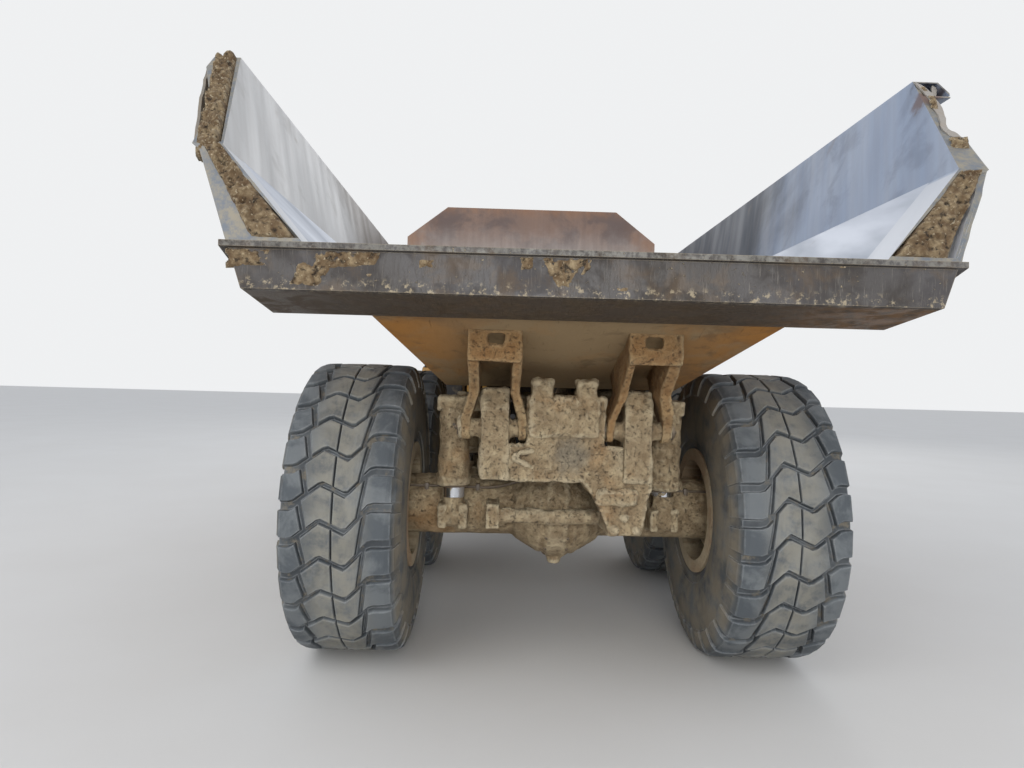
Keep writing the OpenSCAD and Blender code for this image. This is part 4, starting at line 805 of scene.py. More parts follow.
@dataclass(frozen=True)
class ChromeRod:
    """Bright rod with a film of dirt."""

    metal: Colour = srgb(206, 208, 212)
    film: Colour = srgb(120, 104, 82)

    def make(self, name: str, groups: EffectGroups) -> bpy.types.Material:
        """Builds the material."""
        bench = Bench(name, groups)
        board = bench.board
        film = board.sums("MULTIPLY", bench.patch(6.0, 0.42), 0.6)
        tone = board.blend(film, self.metal, self.film)
        board.tree.links.new(board.blend_value(film, 1.0, 0.1), bench.shader.inputs["Metallic"])
        lines = bench.drawn((1.0, 14.0, 14.0), 20.0, 0.5)
        bench.finish(tone, board.blend_value(film, 0.12, 0.7), lines, 0.0002, 0.3)
        return bench.material


@dataclass(frozen=True)
class Pane:
    """Clear glass with a dust film near its edges."""

    tint: Colour = srgb(206, 218, 220)
    dust: Colour = srgb(150, 138, 118)

    def make(self, name: str, groups: EffectGroups) -> bpy.types.Material:
        """Builds the material."""
        bench = Bench(name, groups)
        board = bench.board
        film = bench.patch(2.6, 0.42)
        tone = board.blend(board.sums("MULTIPLY", film, 0.5), self.tint, self.dust)
        bench.shader.inputs["Transmission Weight"].default_value = 0.92
        bench.shader.inputs["IOR"].default_value = 1.45
        bench.finish(tone, board.blend_value(film, 0.03, 0.35), board.noise(bench.place, 3.0), 0.0004, 0.2)
        return bench.material


@dataclass(frozen=True)
class SeatCloth:
    """Dark woven seat cloth."""

    cloth: Colour = srgb(48, 48, 52)
    lint: Colour = srgb(96, 90, 82)

    def make(self, name: str, groups: EffectGroups) -> bpy.types.Material:
        """Builds the material."""
        bench = Bench(name, groups)
        board = bench.board
        weave = board.put("TexWave", {"Vector": bench.place, "Scale": 160.0, "Distortion": 1.0}).outputs["Fac"]
        tone = board.blend(board.sums("MULTIPLY", bench.patch(5.0, 0.5), 0.6), self.cloth, self.lint)
        bench.finish(tone, 0.92, board.sums("ADD", weave, board.noise(bench.place, 90.0)), 0.0015, 0.6)
        return bench.material


@dataclass(frozen=True)
class DriedMud:
    """Loose brown mud with pale crumbs, a painted highlight on its crests, and painted shade in its hollows and pits.
    """

    light: Colour = srgb(156, 137, 106)
    dark: Colour = srgb(92, 71, 47)
    # painted shade for the hollows and pits
    recess_shade: Colour = srgb(46, 35, 25)
    # pale crumbs, also a painted highlight on the crests
    crumb: Colour = srgb(190, 176, 148)
    relief: float = 0.022

    def make(self, name: str, groups: EffectGroups) -> bpy.types.Material:
        """Builds the material."""
        bench = Bench(name, groups)
        board = bench.board
        clod = bench.clod(20.0)
        tone = board.blend(clod.outputs["Shade"], self.dark, self.light)
        # Hollows of the mesh darkened: painted shade
        hollow_shade = board.sums("SUBTRACT", 1.0, bench.crest(0.36, 0.5))
        tone = board.blend(board.share(hollow_shade, 0.85), tone, self.recess_shade)
        tone = board.blend(board.share(bench.patch(13.0, 0.46), 0.75), tone, self.dark)
        pits = board.ramp(board.noise(bench.place, 34.0, 6.0, 0.75), 0.44, 0.33)
        # Pits darkened: painted shade in them
        tone = board.blend(board.share(pits, 0.85), tone, self.recess_shade)
        # Crests of the mesh lightened: painted highlight
        tone = board.blend(board.share(bench.crest(0.53, 0.62), 0.6), tone, self.crumb)
        crumbs = board.ramp(board.noise(bench.place, 85.0, 3.0, 0.5), 0.62, 0.7)
        tone = board.blend(board.share(crumbs, 0.7), tone, self.crumb)
        height = board.sums("SUBTRACT", clod.outputs["Height"], board.share(pits, 0.5))
        bench.finish(tone, 0.97, height, self.relief, 1.0)
        return bench.material


class Finishes:
    """Makes each finish once and hands it out by name."""

    def __init__(self) -> None:
        """Builds the groups and an empty store."""
        self.groups = EffectGroups()
        self.store: dict[str, bpy.types.Material] = {}

    def get(self, name: str, recipe, *more) -> bpy.types.Material:
        """Returns the finish of that name, made on first use.

        Args:
            name: The finish's name.
            recipe: The dataclass that makes it.
            *more: Further arguments of its make method.

        Returns:
            The material.
        """
        if name not in self.store:
            self.store[name] = recipe.make(name, self.groups, *more)
        return self.store[name]


def add_piece(name: str, mesh: bmesh.types.BMesh, material: bpy.types.Material, body: str, smooth: bool = False) -> bpy.types.Object:
    """Turns a bmesh into an object that rides on a body.

    Args:
        name: The piece's name.
        mesh: The bmesh, freed here.
        material: Its finish.
        body: The body that it rides on.
        smooth: Whether faces are shaded smooth.

    Returns:
        The new object.
    """
    data = bpy.data.meshes.new(name)
    mesh.to_mesh(data)
    mesh.free()
    data.materials.append(material)
    for face in data.polygons:
        face.use_smooth = smooth
    piece = bpy.data.objects.new(name, data)
    bpy.context.scene.collection.objects.link(piece)
    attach(piece, body)
    LOG.info("%s: %d faces on %s", name, len(data.polygons), body)
    return piece


def bent(points: Sequence[Point], parts: int = 8) -> list[Vector]:
    """Draws a smooth line through points.

    Args:
        points: The points it passes.
        parts: Steps between two points.

    Returns:
        The points of the line.
    """
    spots = [Vector(p) for p in points]
    ends = [spots[0] * 2 - spots[1], *spots, spots[-1] * 2 - spots[-2]]
    line = []
    for a, b, c, d in zip(ends, ends[1:], ends[2:], ends[3:]):
        for i in range(parts):
            t = i / parts
            line.append(
                0.5 * (2 * b + (c - a) * t + (2 * a - 5 * b + 4 * c - d) * t**2 + (3 * b - a - 3 * c + d) * t**3)
            )
    return [*line, spots[-1]]


class Fitting:
    """A small piece that is put together from turned, bent and milled shapes."""

    def __init__(self) -> None:
        """Starts with nothing."""
        self.mesh = bmesh.new()

    def take(self, part: bmesh.types.BMesh, place: Matrix = Matrix()) -> None:
        """Adds a shape and frees it."""
        part.transform(place)
        data = bpy.data.meshes.new("part")
        part.to_mesh(data)
        part.free()
        self.mesh.from_mesh(data)
        bpy.data.meshes.remove(data)

    def block(self, low: Point, high: Point, round_off: float = 0.004, place: Matrix = Matrix()) -> None:
        """Adds a block with rounded edges between two corners."""
        part = bmesh.new()
        bmesh.ops.create_cube(part, size=1.0)
        for vertex in part.verts:
            vertex.co = Vector([a + (b - a) * (c + 0.5) for a, b, c in zip(low, high, vertex.co)])
        bmesh.ops.bevel(part, geom=part.edges[:], offset=round_off, segments=2, profile=0.5, affect="EDGES")
        self.take(part, place)

    def turned(self, start: Point, way: Point, profile: Sequence[tuple[float, float]], sides: int = 24) -> None:
        """Adds a turned shape.

        Args:
            start: Where its axis starts.
            way: The way that the axis goes.
            profile: Distance along the axis and radius, closed at both ends.
            sides: Facets round it.
        """
        part = bmesh.new()
        rings = []
        for along, radius in profile:
            turns = [2 * math.pi * i / sides for i in range(sides)]
            rings.append([part.verts.new((radius * math.cos(a), radius * math.sin(a), along)) for a in turns])
        for one, two in zip(rings, rings[1:]):
            for i in range(sides):
                j = (i + 1) % sides
                part.faces.new((one[i], one[j], two[j], two[i]))
        part.faces.new(rings[0][::-1])
        part.faces.new(rings[-1])
        self.take(part, Matrix.Translation(start) @ Vector(way).to_track_quat("Z", "Y").to_matrix().to_4x4())

    def hoop(self, middle: Point, way: Point, radius: float, section: Sequence[tuple[float, float]], sides: int = 64) -> None:
        """Adds a ring round an axis.

        Args:
            middle: The ring's middle.
            way: The way that its axis goes.
            radius: Distance from the axis to the section's origin.
            section: Closed outline as distance along the axis and outward.
            sides: Facets round it.
        """
        part = bmesh.new()
        rings = []
        for i in range(sides):
            a = 2 * math.pi * i / sides
            rings.append([part.verts.new(((radius + out) * math.cos(a), (radius + out) * math.sin(a), along)) for along, out in section])
        count = len(section)
        for i in range(sides):
            one, two = rings[i], rings[(i + 1) % sides]
            for k in range(count):
                m = (k + 1) % count
                part.faces.new((one[k], one[m], two[m], two[k]))
        bmesh.ops.recalc_face_normals(part, faces=part.faces)
        self.take(part, Matrix.Translation(middle) @ Vector(way).to_track_quat("Z", "Y").to_matrix().to_4x4())

    def tube(self, line: Sequence[Vector], radius: float, sides: int = 12) -> None:
        """Adds a round bar or hose along a line of points."""
        part = bmesh.new()
        rings = []
        across = None
        for i, spot in enumerate(line):
            ahead = (line[min(i + 1, len(line) - 1)] - line[max(i - 1, 0)]).normalized()
            if across is None:
                across = ahead.orthogonal().normalized()
            across = (across - ahead * across.dot(ahead)).normalized()
            beside = ahead.cross(across)
            turns = [2 * math.pi * k / sides for k in range(sides)]
            rings.append([part.verts.new(spot + (across * math.cos(a) + beside * math.sin(a)) * radius) for a in turns])
        for one, two in zip(rings, rings[1:]):
            for k in range(sides):
                m = (k + 1) % sides
                part.faces.new((one[k], one[m], two[m], two[k]))
        part.faces.new(rings[0][::-1])
        part.faces.new(rings[-1])
        self.take(part)

    def plate(self, outline: Sequence[Point], thick: Point, round_off: float = 0.002) -> None:
        """Adds a plate: an outline in space pushed out along its thickness."""
        part = bmesh.new()
        low = [part.verts.new(p) for p in outline]
        high = [part.verts.new(Vector(p) + Vector(thick)) for p in outline]
        count = len(outline)
        part.faces.new(low[::-1])
        part.faces.new(high)
        for i in range(count):
            j = (i + 1) % count
            part.faces.new((low[i], low[j], high[j], high[i]))
        bmesh.ops.recalc_face_normals(part, faces=part.faces)
        if round_off:
            bmesh.ops.bevel(part, geom=part.edges[:], offset=round_off, segments=1, affect="EDGES")
        self.take(part)

    def nut(self, place: Point, way: Point, size: float) -> None:
        """Adds a washer, a chamfered nut and the end of its stud; size is the nut's radius."""
        r = size
        self.turned(place, way, ((-0.001, r * 1.25), (r * 0.2, r * 1.25), (r * 0.24, r * 1.18)), 16)
        self.turned(place, way, ((r * 0.2, r), (r * 0.85, r), (r * 1.0, r * 0.84)), 6)
        self.turned(place, way, ((r * 0.9, r * 0.52), (r * 1.35, r * 0.52), (r * 1.45, r * 0.44)), 10)

    def nut_ring(self, middle: Point, way: Point, radius: float, count: int, size: float) -> None:
        """Adds a ring of nuts round an axis."""
        turn = Vector(way).to_track_quat("Z", "Y")
        for i in range(count):
            a = 2 * math.pi * (i + 0.5) / count
            spot = Vector(middle) + turn @ Vector((radius * math.cos(a), radius * math.sin(a), 0.0))
            self.nut(spot, way, size)

    def frame(self, low: Point, high: Point, flat: int, width: float, round_off: float = 0.003) -> None:
        """Adds a rectangular frame, such as a window seal.

        Args:
            low: Lowest corner.
            high: Highest corner.
            flat: The axis that the frame lies flat across, 0 or 1.
            width: Width of its bars.
            round_off: Radius of its edges.
        """
        side = 1 - flat
        for k in (side, 2):
            for end in (0, 1):
                a, b = list(low), list(high)
                if end:
                    a[k] = high[k] - width
                else:
                    b[k] = low[k] + width
                if k == 2:
                    a[side] += width * 0.6
                    b[side] -= width * 0.6
                self.block(tuple(a), tuple(b), round_off)

    def done(self, name: str, material: bpy.types.Material, body: str, slot: str, smooth: bool = False) -> bpy.types.Object:
        """Turns it into an object that rides on a body."""
        piece = add_piece(name, self.mesh, material, body, smooth)
        if smooth:
            piece.data.set_sharp_from_angle(angle=math.radians(35))
        return piece


@dataclass
class Tyre:
    """Earthmover tyre with zigzag rows of worn blocks."""

    radius: float = 0.81
    half_width: float = 0.30
    half_tread: float = 0.265
    bead: float = 0.3205
    depth: float = 0.030
    rows: int = 29
    groove: float = 0.023
    # share of the tread's width, share of a pitch
    path: Sequence[tuple[float, float]] = (
        (0.0, 0.0), (0.11, 0.0), (0.365, -0.62), (0.59, -0.30), (0.80, -1.0), (1.0, -1.0),
    )
    steps: int = 5

    def crown(self, x: float) -> float:
        """Outer radius of the tread at a distance from the tyre's middle."""
        share = abs(x) / self.half_tread
        return self.radius - 0.004 * share**2 - 0.016 * max(0.0, share - 0.8) ** 2 * 25

    def shift(self, share: float) -> float:
        """Shift of a row's edge, in pitches, at a share of the width."""
        for (a, p), (b, q) in zip(self.path, self.path[1:]):
            if share <= b:
                return p + (q - p) * (share - a) / (b - a)
        return self.path[-1][1]

    def carcass(self, mesh: bmesh.types.BMesh) -> None:
        """Adds the revolved body below the blocks."""
        r, w, t, b = self.radius, self.half_width, self.half_tread, self.bead
        base = self.radius - self.depth
        half = [
            (0.0, base), (t * 0.5, base), (t * 0.85, base - 0.004), (t - 0.004, base - 0.012),
            (t + 0.008, base - 0.045), (w - 0.014, base - 0.10), (w - 0.004, base - 0.17),
            (w, base - 0.24), (w - 0.002, base - 0.30), (w - 0.012, base - 0.36),
            (w - 0.02, b + 0.10), (w - 0.022, b + 0.06), (w - 0.03, b + 0.05), (w - 0.04, b + 0.03),
            (w - 0.046, b + 0.005), (w - 0.05, b),
        ]
        ring = [(-x, y) for x, y in reversed(half[1:])] + half
        turns = self.rows * 4
        loops = []
        for i in range(turns):
            a = 2 * math.pi * i / turns
            loops.append([mesh.verts.new((x, q * math.cos(a), q * math.sin(a))) for x, q in ring])
        for i in range(turns):
            one, two = loops[i], loops[(i + 1) % turns]
            for k in range(len(ring)):
                m = (k + 1) % len(ring)
                mesh.faces.new((one[k], one[m], two[m], two[k]))

    def blocks(self, mesh: bmesh.types.BMesh, seed: int) -> None:
        """Adds the tread blocks of every row."""
        rng = random.Random(seed)
        pitch = 2 * math.pi / self.rows
        half = self.groove / 2 / self.radius
        # first share and last share of each block, and half the gap beside it
        cuts = [(0.0, 0.205), (0.205, 0.475), (0.475, 0.735), (0.735, 1.0)]
        for row in range(self.rows):
            for k, (start, end) in enumerate(cuts):
                lean = (0.0, 0.05, 0.0, -0.05, 0.0)
                self._block(mesh, rng, row * pitch, pitch, half, start, end, k, lean)

    def _block(self, mesh, rng, at: float, pitch: float, half: float, start: float, end: float, k: int, lean) -> None:
        """Adds one block, its lower edge on the groove's path."""
        gap = (0.0, 0.022, 0.006, 0.022, 0.0)
        half *= 1.9 if k in (0, 3) else 1.15
        low_side, high_side = [], []
        n = self.steps
        for i in range(n + 1):
            for side, store in ((0.0, low_side), (1.0, high_side)):
                a = start + gap[k] + (lean[k] * (side - 0.5))
                b = end - gap[k + 1] + (lean[k + 1] * (side - 0.5))
                share = a + (b - a) * i / n
                share = min(max(share, 0.0), 1.0)
                angle = at + pitch * (self.shift(share) + side) + (half if side == 0 else -half)
                store.append((share, angle))
        drop = rng.uniform(0.0, 0.0022)
        outline = low_side + high_side[::-1]
        middle_share = sum(s for s, _ in outline) / len(outline)
        middle_angle = sum(a for _, a in outline) / len(outline)
        layers = ((1.06, self.depth * 1.15), (1.0, 0.009), (0.965, 0.002), (0.91, 0.0))
        rings = []
        for shrink, down in layers:
            ring = []
            for share, angle in outline:
                s = middle_share + (share - middle_share) * shrink
                g = middle_angle + (angle - middle_angle) * shrink
                x = (s * 2 - 1) * self.half_tread
                radius = self.crown(x) - down - drop * (down < self.depth)
                ring.append(mesh.verts.new((x, radius * math.cos(g), radius * math.sin(g))))
            rings.append(ring)
        count = len(outline)
        for one, two in zip(rings, rings[1:]):
            for i in range(count):
                j = (i + 1) % count
                mesh.faces.new((one[i], one[j], two[j], two[i]))
        top = rings[-1]
        for i in range(n):
            mesh.faces.new((top[i], top[i + 1], top[count - 2 - i], top[count - 1 - i]))

    def shoulder_bars(self, mesh: bmesh.types.BMesh) -> None:
        """Adds the short ribs below the outer blocks on both shoulders."""
        pitch = 2 * math.pi / self.rows
        for sign in (-1, 1):
            shift = self.shift(0.0) if sign < 0 else self.shift(1.0)
            for row in range(self.rows):
                a = (row + shift + 0.16) * pitch
                b = (row + shift + 0.84) * pitch
                points = [
                    (self.half_tread - 0.006, self.radius - 0.016), (self.half_tread + 0.012, self.radius - 0.045),
                    (self.half_width - 0.008, self.radius - 0.10), (self.half_width - 0.004, self.radius - 0.125),
                ]
                inner = [(x - 0.012, r - 0.012) for x, r in points]
                loops = []
                for g in (a, b):
                    loops.append([mesh.verts.new((sign * x, r * math.cos(g), r * math.sin(g))) for x, r in points + inner[::-1]])
                one, two = loops
                for i in range(len(one)):
                    j = (i + 1) % len(one)
                    mesh.faces.new((one[i], one[j], two[j], two[i]))
                mesh.faces.new(one)
                mesh.faces.new(two[::-1])

    def build(self, node: str, finishes: Finishes, turn: float) -> None:
        """Builds the tyre that stands for a CAD node.

        Args:
            node: The CAD node's name.
            finishes: The store of finishes.
            turn: Angle that the tread is turned by, so no two wheels match.
        """
        low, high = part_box(node)
        middle = tuple((a + b) / 2 for a, b in zip(low, high))
        mesh = bmesh.new()
        self.carcass(mesh)
        self.blocks(mesh, sum(map(ord, node)))
        self.shoulder_bars(mesh)
        bmesh.ops.recalc_face_normals(mesh, faces=mesh.faces)
        flip = math.pi if node[-1] == "r" else 0.0
        mesh.transform(Matrix.Translation(middle) @ Matrix.Rotation(turn, 4, "X") @ Matrix.Rotation(flip, 4, "Z"))
        finish = finishes.get("rubber_" + node, TyreRubber(), middle)
        piece = add_piece("tread_" + node, mesh, finish, "wheel_" + node.split("_")[1])
        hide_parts(node)


def bumpy(place: Vector, size: float, seed: float, octaves: int = 4) -> float:
    """Fractal noise between about -1 and 1 at a place.

    Args:
        place: Where it is read.
        size: Size of the largest lumps in metres.
        seed: Shift that makes one piece unlike the next.
        octaves: How many finer layers are added.

    Returns:
        The noise.
    """
    return noise.fractal(place / size + Vector((seed, -seed, 2 * seed)), 0.9, 2.1, octaves)


def ease(value: float, low: float, high: float) -> float:
    """Rises smoothly from 0 at low to 1 at high."""
    t = min(max((value - low) / (high - low), 0.0), 1.0)
    return t * t * (3 - 2 * t)


@dataclass
class MudCoat:
    """Copy of a CAD node with dried mud caked on it in real relief."""

    node: str
    body: str
    voxel: float = 0.012
    thick: float = 0.012
    cover: float = 0.1
    keep: float = 0.6
    seed: float = 0.0
    # places and radii where the mud is scraped off, such as at pins
    clear: tuple[tuple[Point, float], ...] = ()
    # steelwork that the mud covers as well
    under: Fitting | None = None

    def depth(self, place: Vector, up: float) -> float:
        """Thickness of the mud at a place.

        Args:
            place: A point on the steel.
            up: How much the face looks up, -1 to 1.

        Returns:
            The thickness in metres, a little below zero where steel shows.
        """
        broad = bumpy(place, 0.33, self.seed, 3)
        cover = ease(broad + 0.35 * up + self.cover, -0.25, 0.35)
        lumps = 0.55 + 0.45 * bumpy(place, 0.055, self.seed + 3.1, 3)
        grit = 0.16 * bumpy(place, 0.016, self.seed + 7.7, 2)
        thick = self.thick * (cover * (lumps + grit) * (1 + 0.5 * max(up, 0.0)))
        for middle, radius in self.clear:
            away = (place - Vector(middle)).length
            thick *= ease(away, radius * 0.8, radius * 1.3)
        return thick - 0.0006

    def build(self, frame: dict, finish: bpy.types.Material, slot: str) -> bpy.types.Object:
        """Builds the caked copy, which stands for the node.

        Args:
            frame: The loaded frame.
            finish: The material of the steel and mud.
            slot: The record's material slot, not used.

        Returns:
            The new piece.
        """
        source = frame["nodes"][self.node]
        rough = bpy.data.objects.new("coat", source.data.copy())
        bpy.context.scene.collection.objects.link(rough)
        if self.under is not None:
            self.under.mesh.from_mesh(rough.data)
            self.under.mesh.to_mesh(rough.data)
            self.under.mesh.free()
        remesh = rough.modifiers.new("remesh", "REMESH")
        remesh.mode = "VOXEL"
        remesh.voxel_size = self.voxel
        remesh.use_smooth_shade = True
        graph = bpy.context.evaluated_depsgraph_get()
        data = bpy.data.meshes.new_from_object(rough.evaluated_get(graph))
        normals = [v.normal.copy() for v in data.vertices]
        for vertex, normal in zip(data.vertices, normals):
            vertex.co = vertex.co + normal * self.depth(vertex.co, normal.z)
        if self.keep < 1.0:
            rough.modifiers.clear()
            rough.data = data
            lighter = rough.modifiers.new("lighter", "DECIMATE")
            lighter.ratio = self.keep
            graph = bpy.context.evaluated_depsgraph_get()
            data = bpy.data.meshes.new_from_object(rough.evaluated_get(graph))
        bpy.data.objects.remove(rough)
        mesh = bmesh.new()
        mesh.from_mesh(data)
        piece = add_piece("caked_" + self.node, mesh, finish, self.body, smooth=True)
        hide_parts(self.node)
        return piece


@dataclass
class MudPatch:
    """Dried mud stuck on a flat face: a closed lump with a ragged outline."""

    # four corners in turn, and the way that the face looks
    corners: tuple[Point, Point, Point, Point]
    facing: Point
    thick: float = 0.02
    seed: float = 0.0
    ragged: float = 0.35
    full: float = 0.0
    lump: float = 0.06
    step: float = 0.009
    sunk: float = 0.004

    def place(self, u: float, v: float) -> Vector:
        """Point on the face at two shares of its sides."""
        a, b, c, d = map(Vector, self.corners)
        return a.lerp(b, u).lerp(d.lerp(c, u), v)

    def add(self, mesh: bmesh.types.BMesh) -> None:
        """Adds the lump to a mesh.

        Args:
            mesh: The bmesh that takes it.
        """
        a, b, c, d = map(Vector, self.corners)
        facing = Vector(self.facing)
        normal = (b - a).cross(d - a).normalized()
        flip = normal.dot(facing) < 0
        normal = -normal if flip else normal
        wide = ((b - a).length + (c - d).length) / 2
        tall = ((d - a).length + (c - b).length) / 2
        columns, rows = max(4, round(wide / self.step)), max(4, round(tall / self.step))
        tops: dict[tuple[int, int], float] = {}
        for i in range(columns + 1):
            for j in range(rows + 1):
                u, v = i / columns, j / rows
                place = self.place(u, v)
                edge = ease(min(min(u, 1 - u) * wide, min(v, 1 - v) * tall), 0.0, 0.02)
                centre = 1.0 - max(abs(2 * u - 1), abs(2 * v - 1)) ** 3
                mask = centre + self.full + self.ragged * bumpy(place, self.lump * 1.6, self.seed, 4)
                mask = ease(mask, 0.25, 0.55) * edge
                lump = 0.55 + 0.5 * bumpy(place, self.lump, self.seed + 5, 4)
                lump += 0.16 * bumpy(place, 0.014, self.seed, 2)
                tops[i, j] = self.thick * mask * max(lump, 0.1) - self.sunk * (1 - mask)
        keep = set()
        for i in range(columns):
            for j in range(rows):
                if max(tops[i + m, j + n] for m in (0, 1) for n in (0, 1)) > 0.0:
                    keep.add((i, j))
        verts: dict[tuple[int, int, bool], bmesh.types.BMVert] = {}

        def at(i: int, j: int, top: bool) -> bmesh.types.BMVert:
            """Finds or makes a vertex of the top or the back."""
            if (i, j, top) not in verts:
                lift = tops[i, j] if top else -self.sunk * 1.6
                verts[i, j, top] = mesh.verts.new(self.place(i / columns, j / rows) + normal * lift)
            return verts[i, j, top]

        def face(corners: list[bmesh.types.BMVert]) -> None:
            """Adds a face, wound so that it looks outward."""
            mesh.faces.new(corners[::-1] if flip else corners)

        for i, j in sorted(keep):
            square = ((i, j), (i + 1, j), (i + 1, j + 1), (i, j + 1))
            face([at(m, n, True) for m, n in square])
            face([at(m, n, False) for m, n in reversed(square)])
            sides = (((i, j - 1), 0), ((i + 1, j), 1), ((i, j + 1), 2), ((i - 1, j), 3))
            for beside, k in sides:
                if beside not in keep:
                    one, two = square[k], square[(k + 1) % 4]
                    face([at(*one, False), at(*two, False), at(*two, True), at(*one, True)])


@dataclass
class TailMud:
    """Mud on the tail beam's face and packed in the ends of the side walls."""

    # the beam's face, below the lip's edge
    face_y: float = -5.135
    lip_z: float = 1.996
    # mud starts this far behind the face of a wall's end
    behind: float = 0.008
    # how far out and back it may reach
    side_limit: float = 1.719
    back_limit: float = -5.1495
    # side walls' rear edge: distance back, height, inner and outer half width
    edge: tuple[tuple[float, float, float, float], ...] = (
        (-5.146, 2.018, 1.072, 1.336),
        (-5.011, 2.404, 1.418, 1.526),
        (-4.398, 3.020, 1.603, 1.714),
    )
    # the lumps on the beam: corners as distance across and drop below the lip
    lumps: tuple[tuple[tuple[float, float], ...], ...] = (
        ((-1.352, 0.0), (-1.17, 0.0), (-1.19, 0.075), (-1.345, 0.085)),
        ((-1.05, 0.0), (-0.76, 0.0), (-0.80, 0.06), (-1.03, 0.085)),
        ((-1.09, 0.04), (-0.93, 0.03), (-1.00, 0.145), (-1.12, 0.14)),
        ((-0.66, 0.02), (-0.58, 0.02), (-0.59, 0.065), (-0.65, 0.07)),
        ((-0.86, 0.075), (-0.80, 0.075), (-0.81, 0.105), (-0.855, 0.105)),
        ((-0.30, 0.0), (-0.22, 0.0), (-0.22, 0.06), (-0.28, 0.065)),
        ((-0.22, 0.0), (0.02, 0.0), (-0.04, 0.075), (-0.17, 0.085)),
        ((-0.19, 0.05), (-0.06, 0.05), (-0.09, 0.125), (-0.14, 0.125)),
        ((0.06, 0.10), (0.13, 0.10), (0.12, 0.135), (0.07, 0.13)),
        ((0.86, 0.0), (0.93, 0.0), (0.92, 0.02), (0.87, 0.022)),
    )

    def on_beam(self) -> Iterable[MudPatch]:
        """Lumps that hang below the beam's lip."""
        for k, lump in enumerate(self.lumps):
            corners = tuple((x, self.face_y, self.lip_z - drop) for x, drop in lump)
            yield MudPatch(corners, (0, -1, 0), 0.0105, 4.0 + k, 1.1, 0.06, 0.024, 0.005)

    def in_end(self, side: Side, piece: int, share: tuple[float, float], full: float, seed: float, thick: float, spread: float = 0.0) -> MudPatch:
        """Patch in a wall's end.

        Args:
            side: Left or right wall.
            piece: 0 for the lower stretch, 1 for the upper one.
            share: First and last share of the end's width, from the inside.
            full: How far the mud fills the face.
            seed: Seed of its lumps.
            thick: Its thickness.
            spread: How much wider it is at its upper end.

        Returns:
            The patch.
        """
        corners = []
        for step, shares in ((piece, share), (piece + 1, (share[1] + spread, share[0]))):
            y, z, inner, outer = self.edge[step]
            for s in shares:
                corners.append((side.value * (inner + (outer - inner) * s), y + self.behind, z))
        return MudPatch(tuple(corners), (0, -1, 0), thick, seed, 0.35, full, 0.05, 0.006, 0.03)

    def build(self, finish: bpy.types.Material) -> None:
        """Builds the mud pieces of the tail."""
        mesh = bmesh.new()
        for patch in self.on_beam():
            patch.add(mesh)
        piece = add_piece("mud_on_beam", mesh, finish, "dump_body", smooth=True)
        for side in Side:
            mesh = bmesh.new()
            if side is Side.LEFT:
                self.in_end(side, 1, (0.02, 0.99), 1.2, 2.0, 0.05, 0.14).add(mesh)
                # Mud over the fold
                y, z = self.edge[1][0] + self.behind, self.edge[1][1]
                fold = ((-1.432, y + 0.03, z + 0.05), (-1.535, y + 0.03, z + 0.05), (-1.53, y - 0.008, z - 0.045), (-1.415, y - 0.008, z - 0.04))
                MudPatch(fold, (0, -1, 0), 0.034, 17.0, 0.4, 0.9, 0.04, 0.006, 0.03).add(mesh)
                self.in_end(side, 0, (-0.01, 0.72), 0.8, 9.0, 0.04).add(mesh)
            else:
                self.in_end(side, 0, (0.0, 0.86), 1.0, 5.0, 0.036).add(mesh)
            for vertex in mesh.verts:
                vertex.co.y = max(vertex.co.y, self.back_limit)
                vertex.co.x = max(min(vertex.co.x, self.side_limit), -self.side_limit)
            piece = add_piece("mud_in_wall_" + side.name.lower(), mesh, finish, "dump_body", smooth=True)


@dataclass
class WallEnds:
    """Outer plates of the boxed edges at the rear of the side walls."""

    # distance across and height, along each plate's outer face
    left: tuple[tuple[float, float], ...] = (
        (1.524, 2.404), (1.562, 2.50), (1.602, 2.60), (1.64, 2.70), (1.674, 2.80), (1.702, 2.89), (1.714, 2.95), (1.715, 3.018),
    )
    right: tuple[tuple[float, float], ...] = ((1.34, 2.022), (1.385, 2.11), (1.43, 2.20), (1.475, 2.29), (1.524, 2.40))
    thick: float = 0.012
    reach: float = 0.15
    seed: int = 5

    def rake(self, height: float) -> float:
        """Where the wall's rear face is at a height."""
        slope = 0.995 if height > 2.404 else 0.35
        return -5.011 + (height - 2.404) * slope

    def sheet(self, side: Side, line: Sequence[tuple[float, float]], thick: float) -> Fitting:
        """Makes one plate.

        Args:
            side: Left or right wall.
            line: Its outer face, from the foot up.
            thick: Its thickness.

        Returns:
            The plate.
        """
        rng = random.Random(self.seed)
        part = bmesh.new()
        rings = []
        for point in bent([Vector((x, 0.0, z)) for x, z in line], 3):
            x, z = point.x, point.z
            back = self.rake(z) + rng.uniform(-0.001, 0.004)
            dent = rng.uniform(-0.0015, 0.0015)
            front = back + self.reach
            outer, inner = x + dent, x + dent - thick
            corners = ((inner, back), (outer, back), (outer, back + 0.03), (outer - thick * 0.7, front), (inner, front))
            rings.append([part.verts.new((side.value * a, b, z)) for a, b in corners])
        count = len(rings[0])
        for one, two in zip(rings, rings[1:]):
            for k in range(count):
                m = (k + 1) % count
                part.faces.new((one[k], one[m], two[m], two[k]))
        part.faces.new(rings[0][::-1])
        part.faces.new(rings[-1])
        bmesh.ops.recalc_face_normals(part, faces=part.faces)
        plate = Fitting()
        plate.take(part)
        return plate

    def build(self, steel: bpy.types.Material, dark: bpy.types.Material) -> None:
        """Builds both plates."""
        self.sheet(Side.LEFT, self.left, self.thick).done("wall_end_left", dark, "dump_body", "grey_steel", smooth=True)
        self.sheet(Side.RIGHT, self.right, 0.028).done("wall_end_right", steel, "dump_body", "grey_steel", smooth=True)


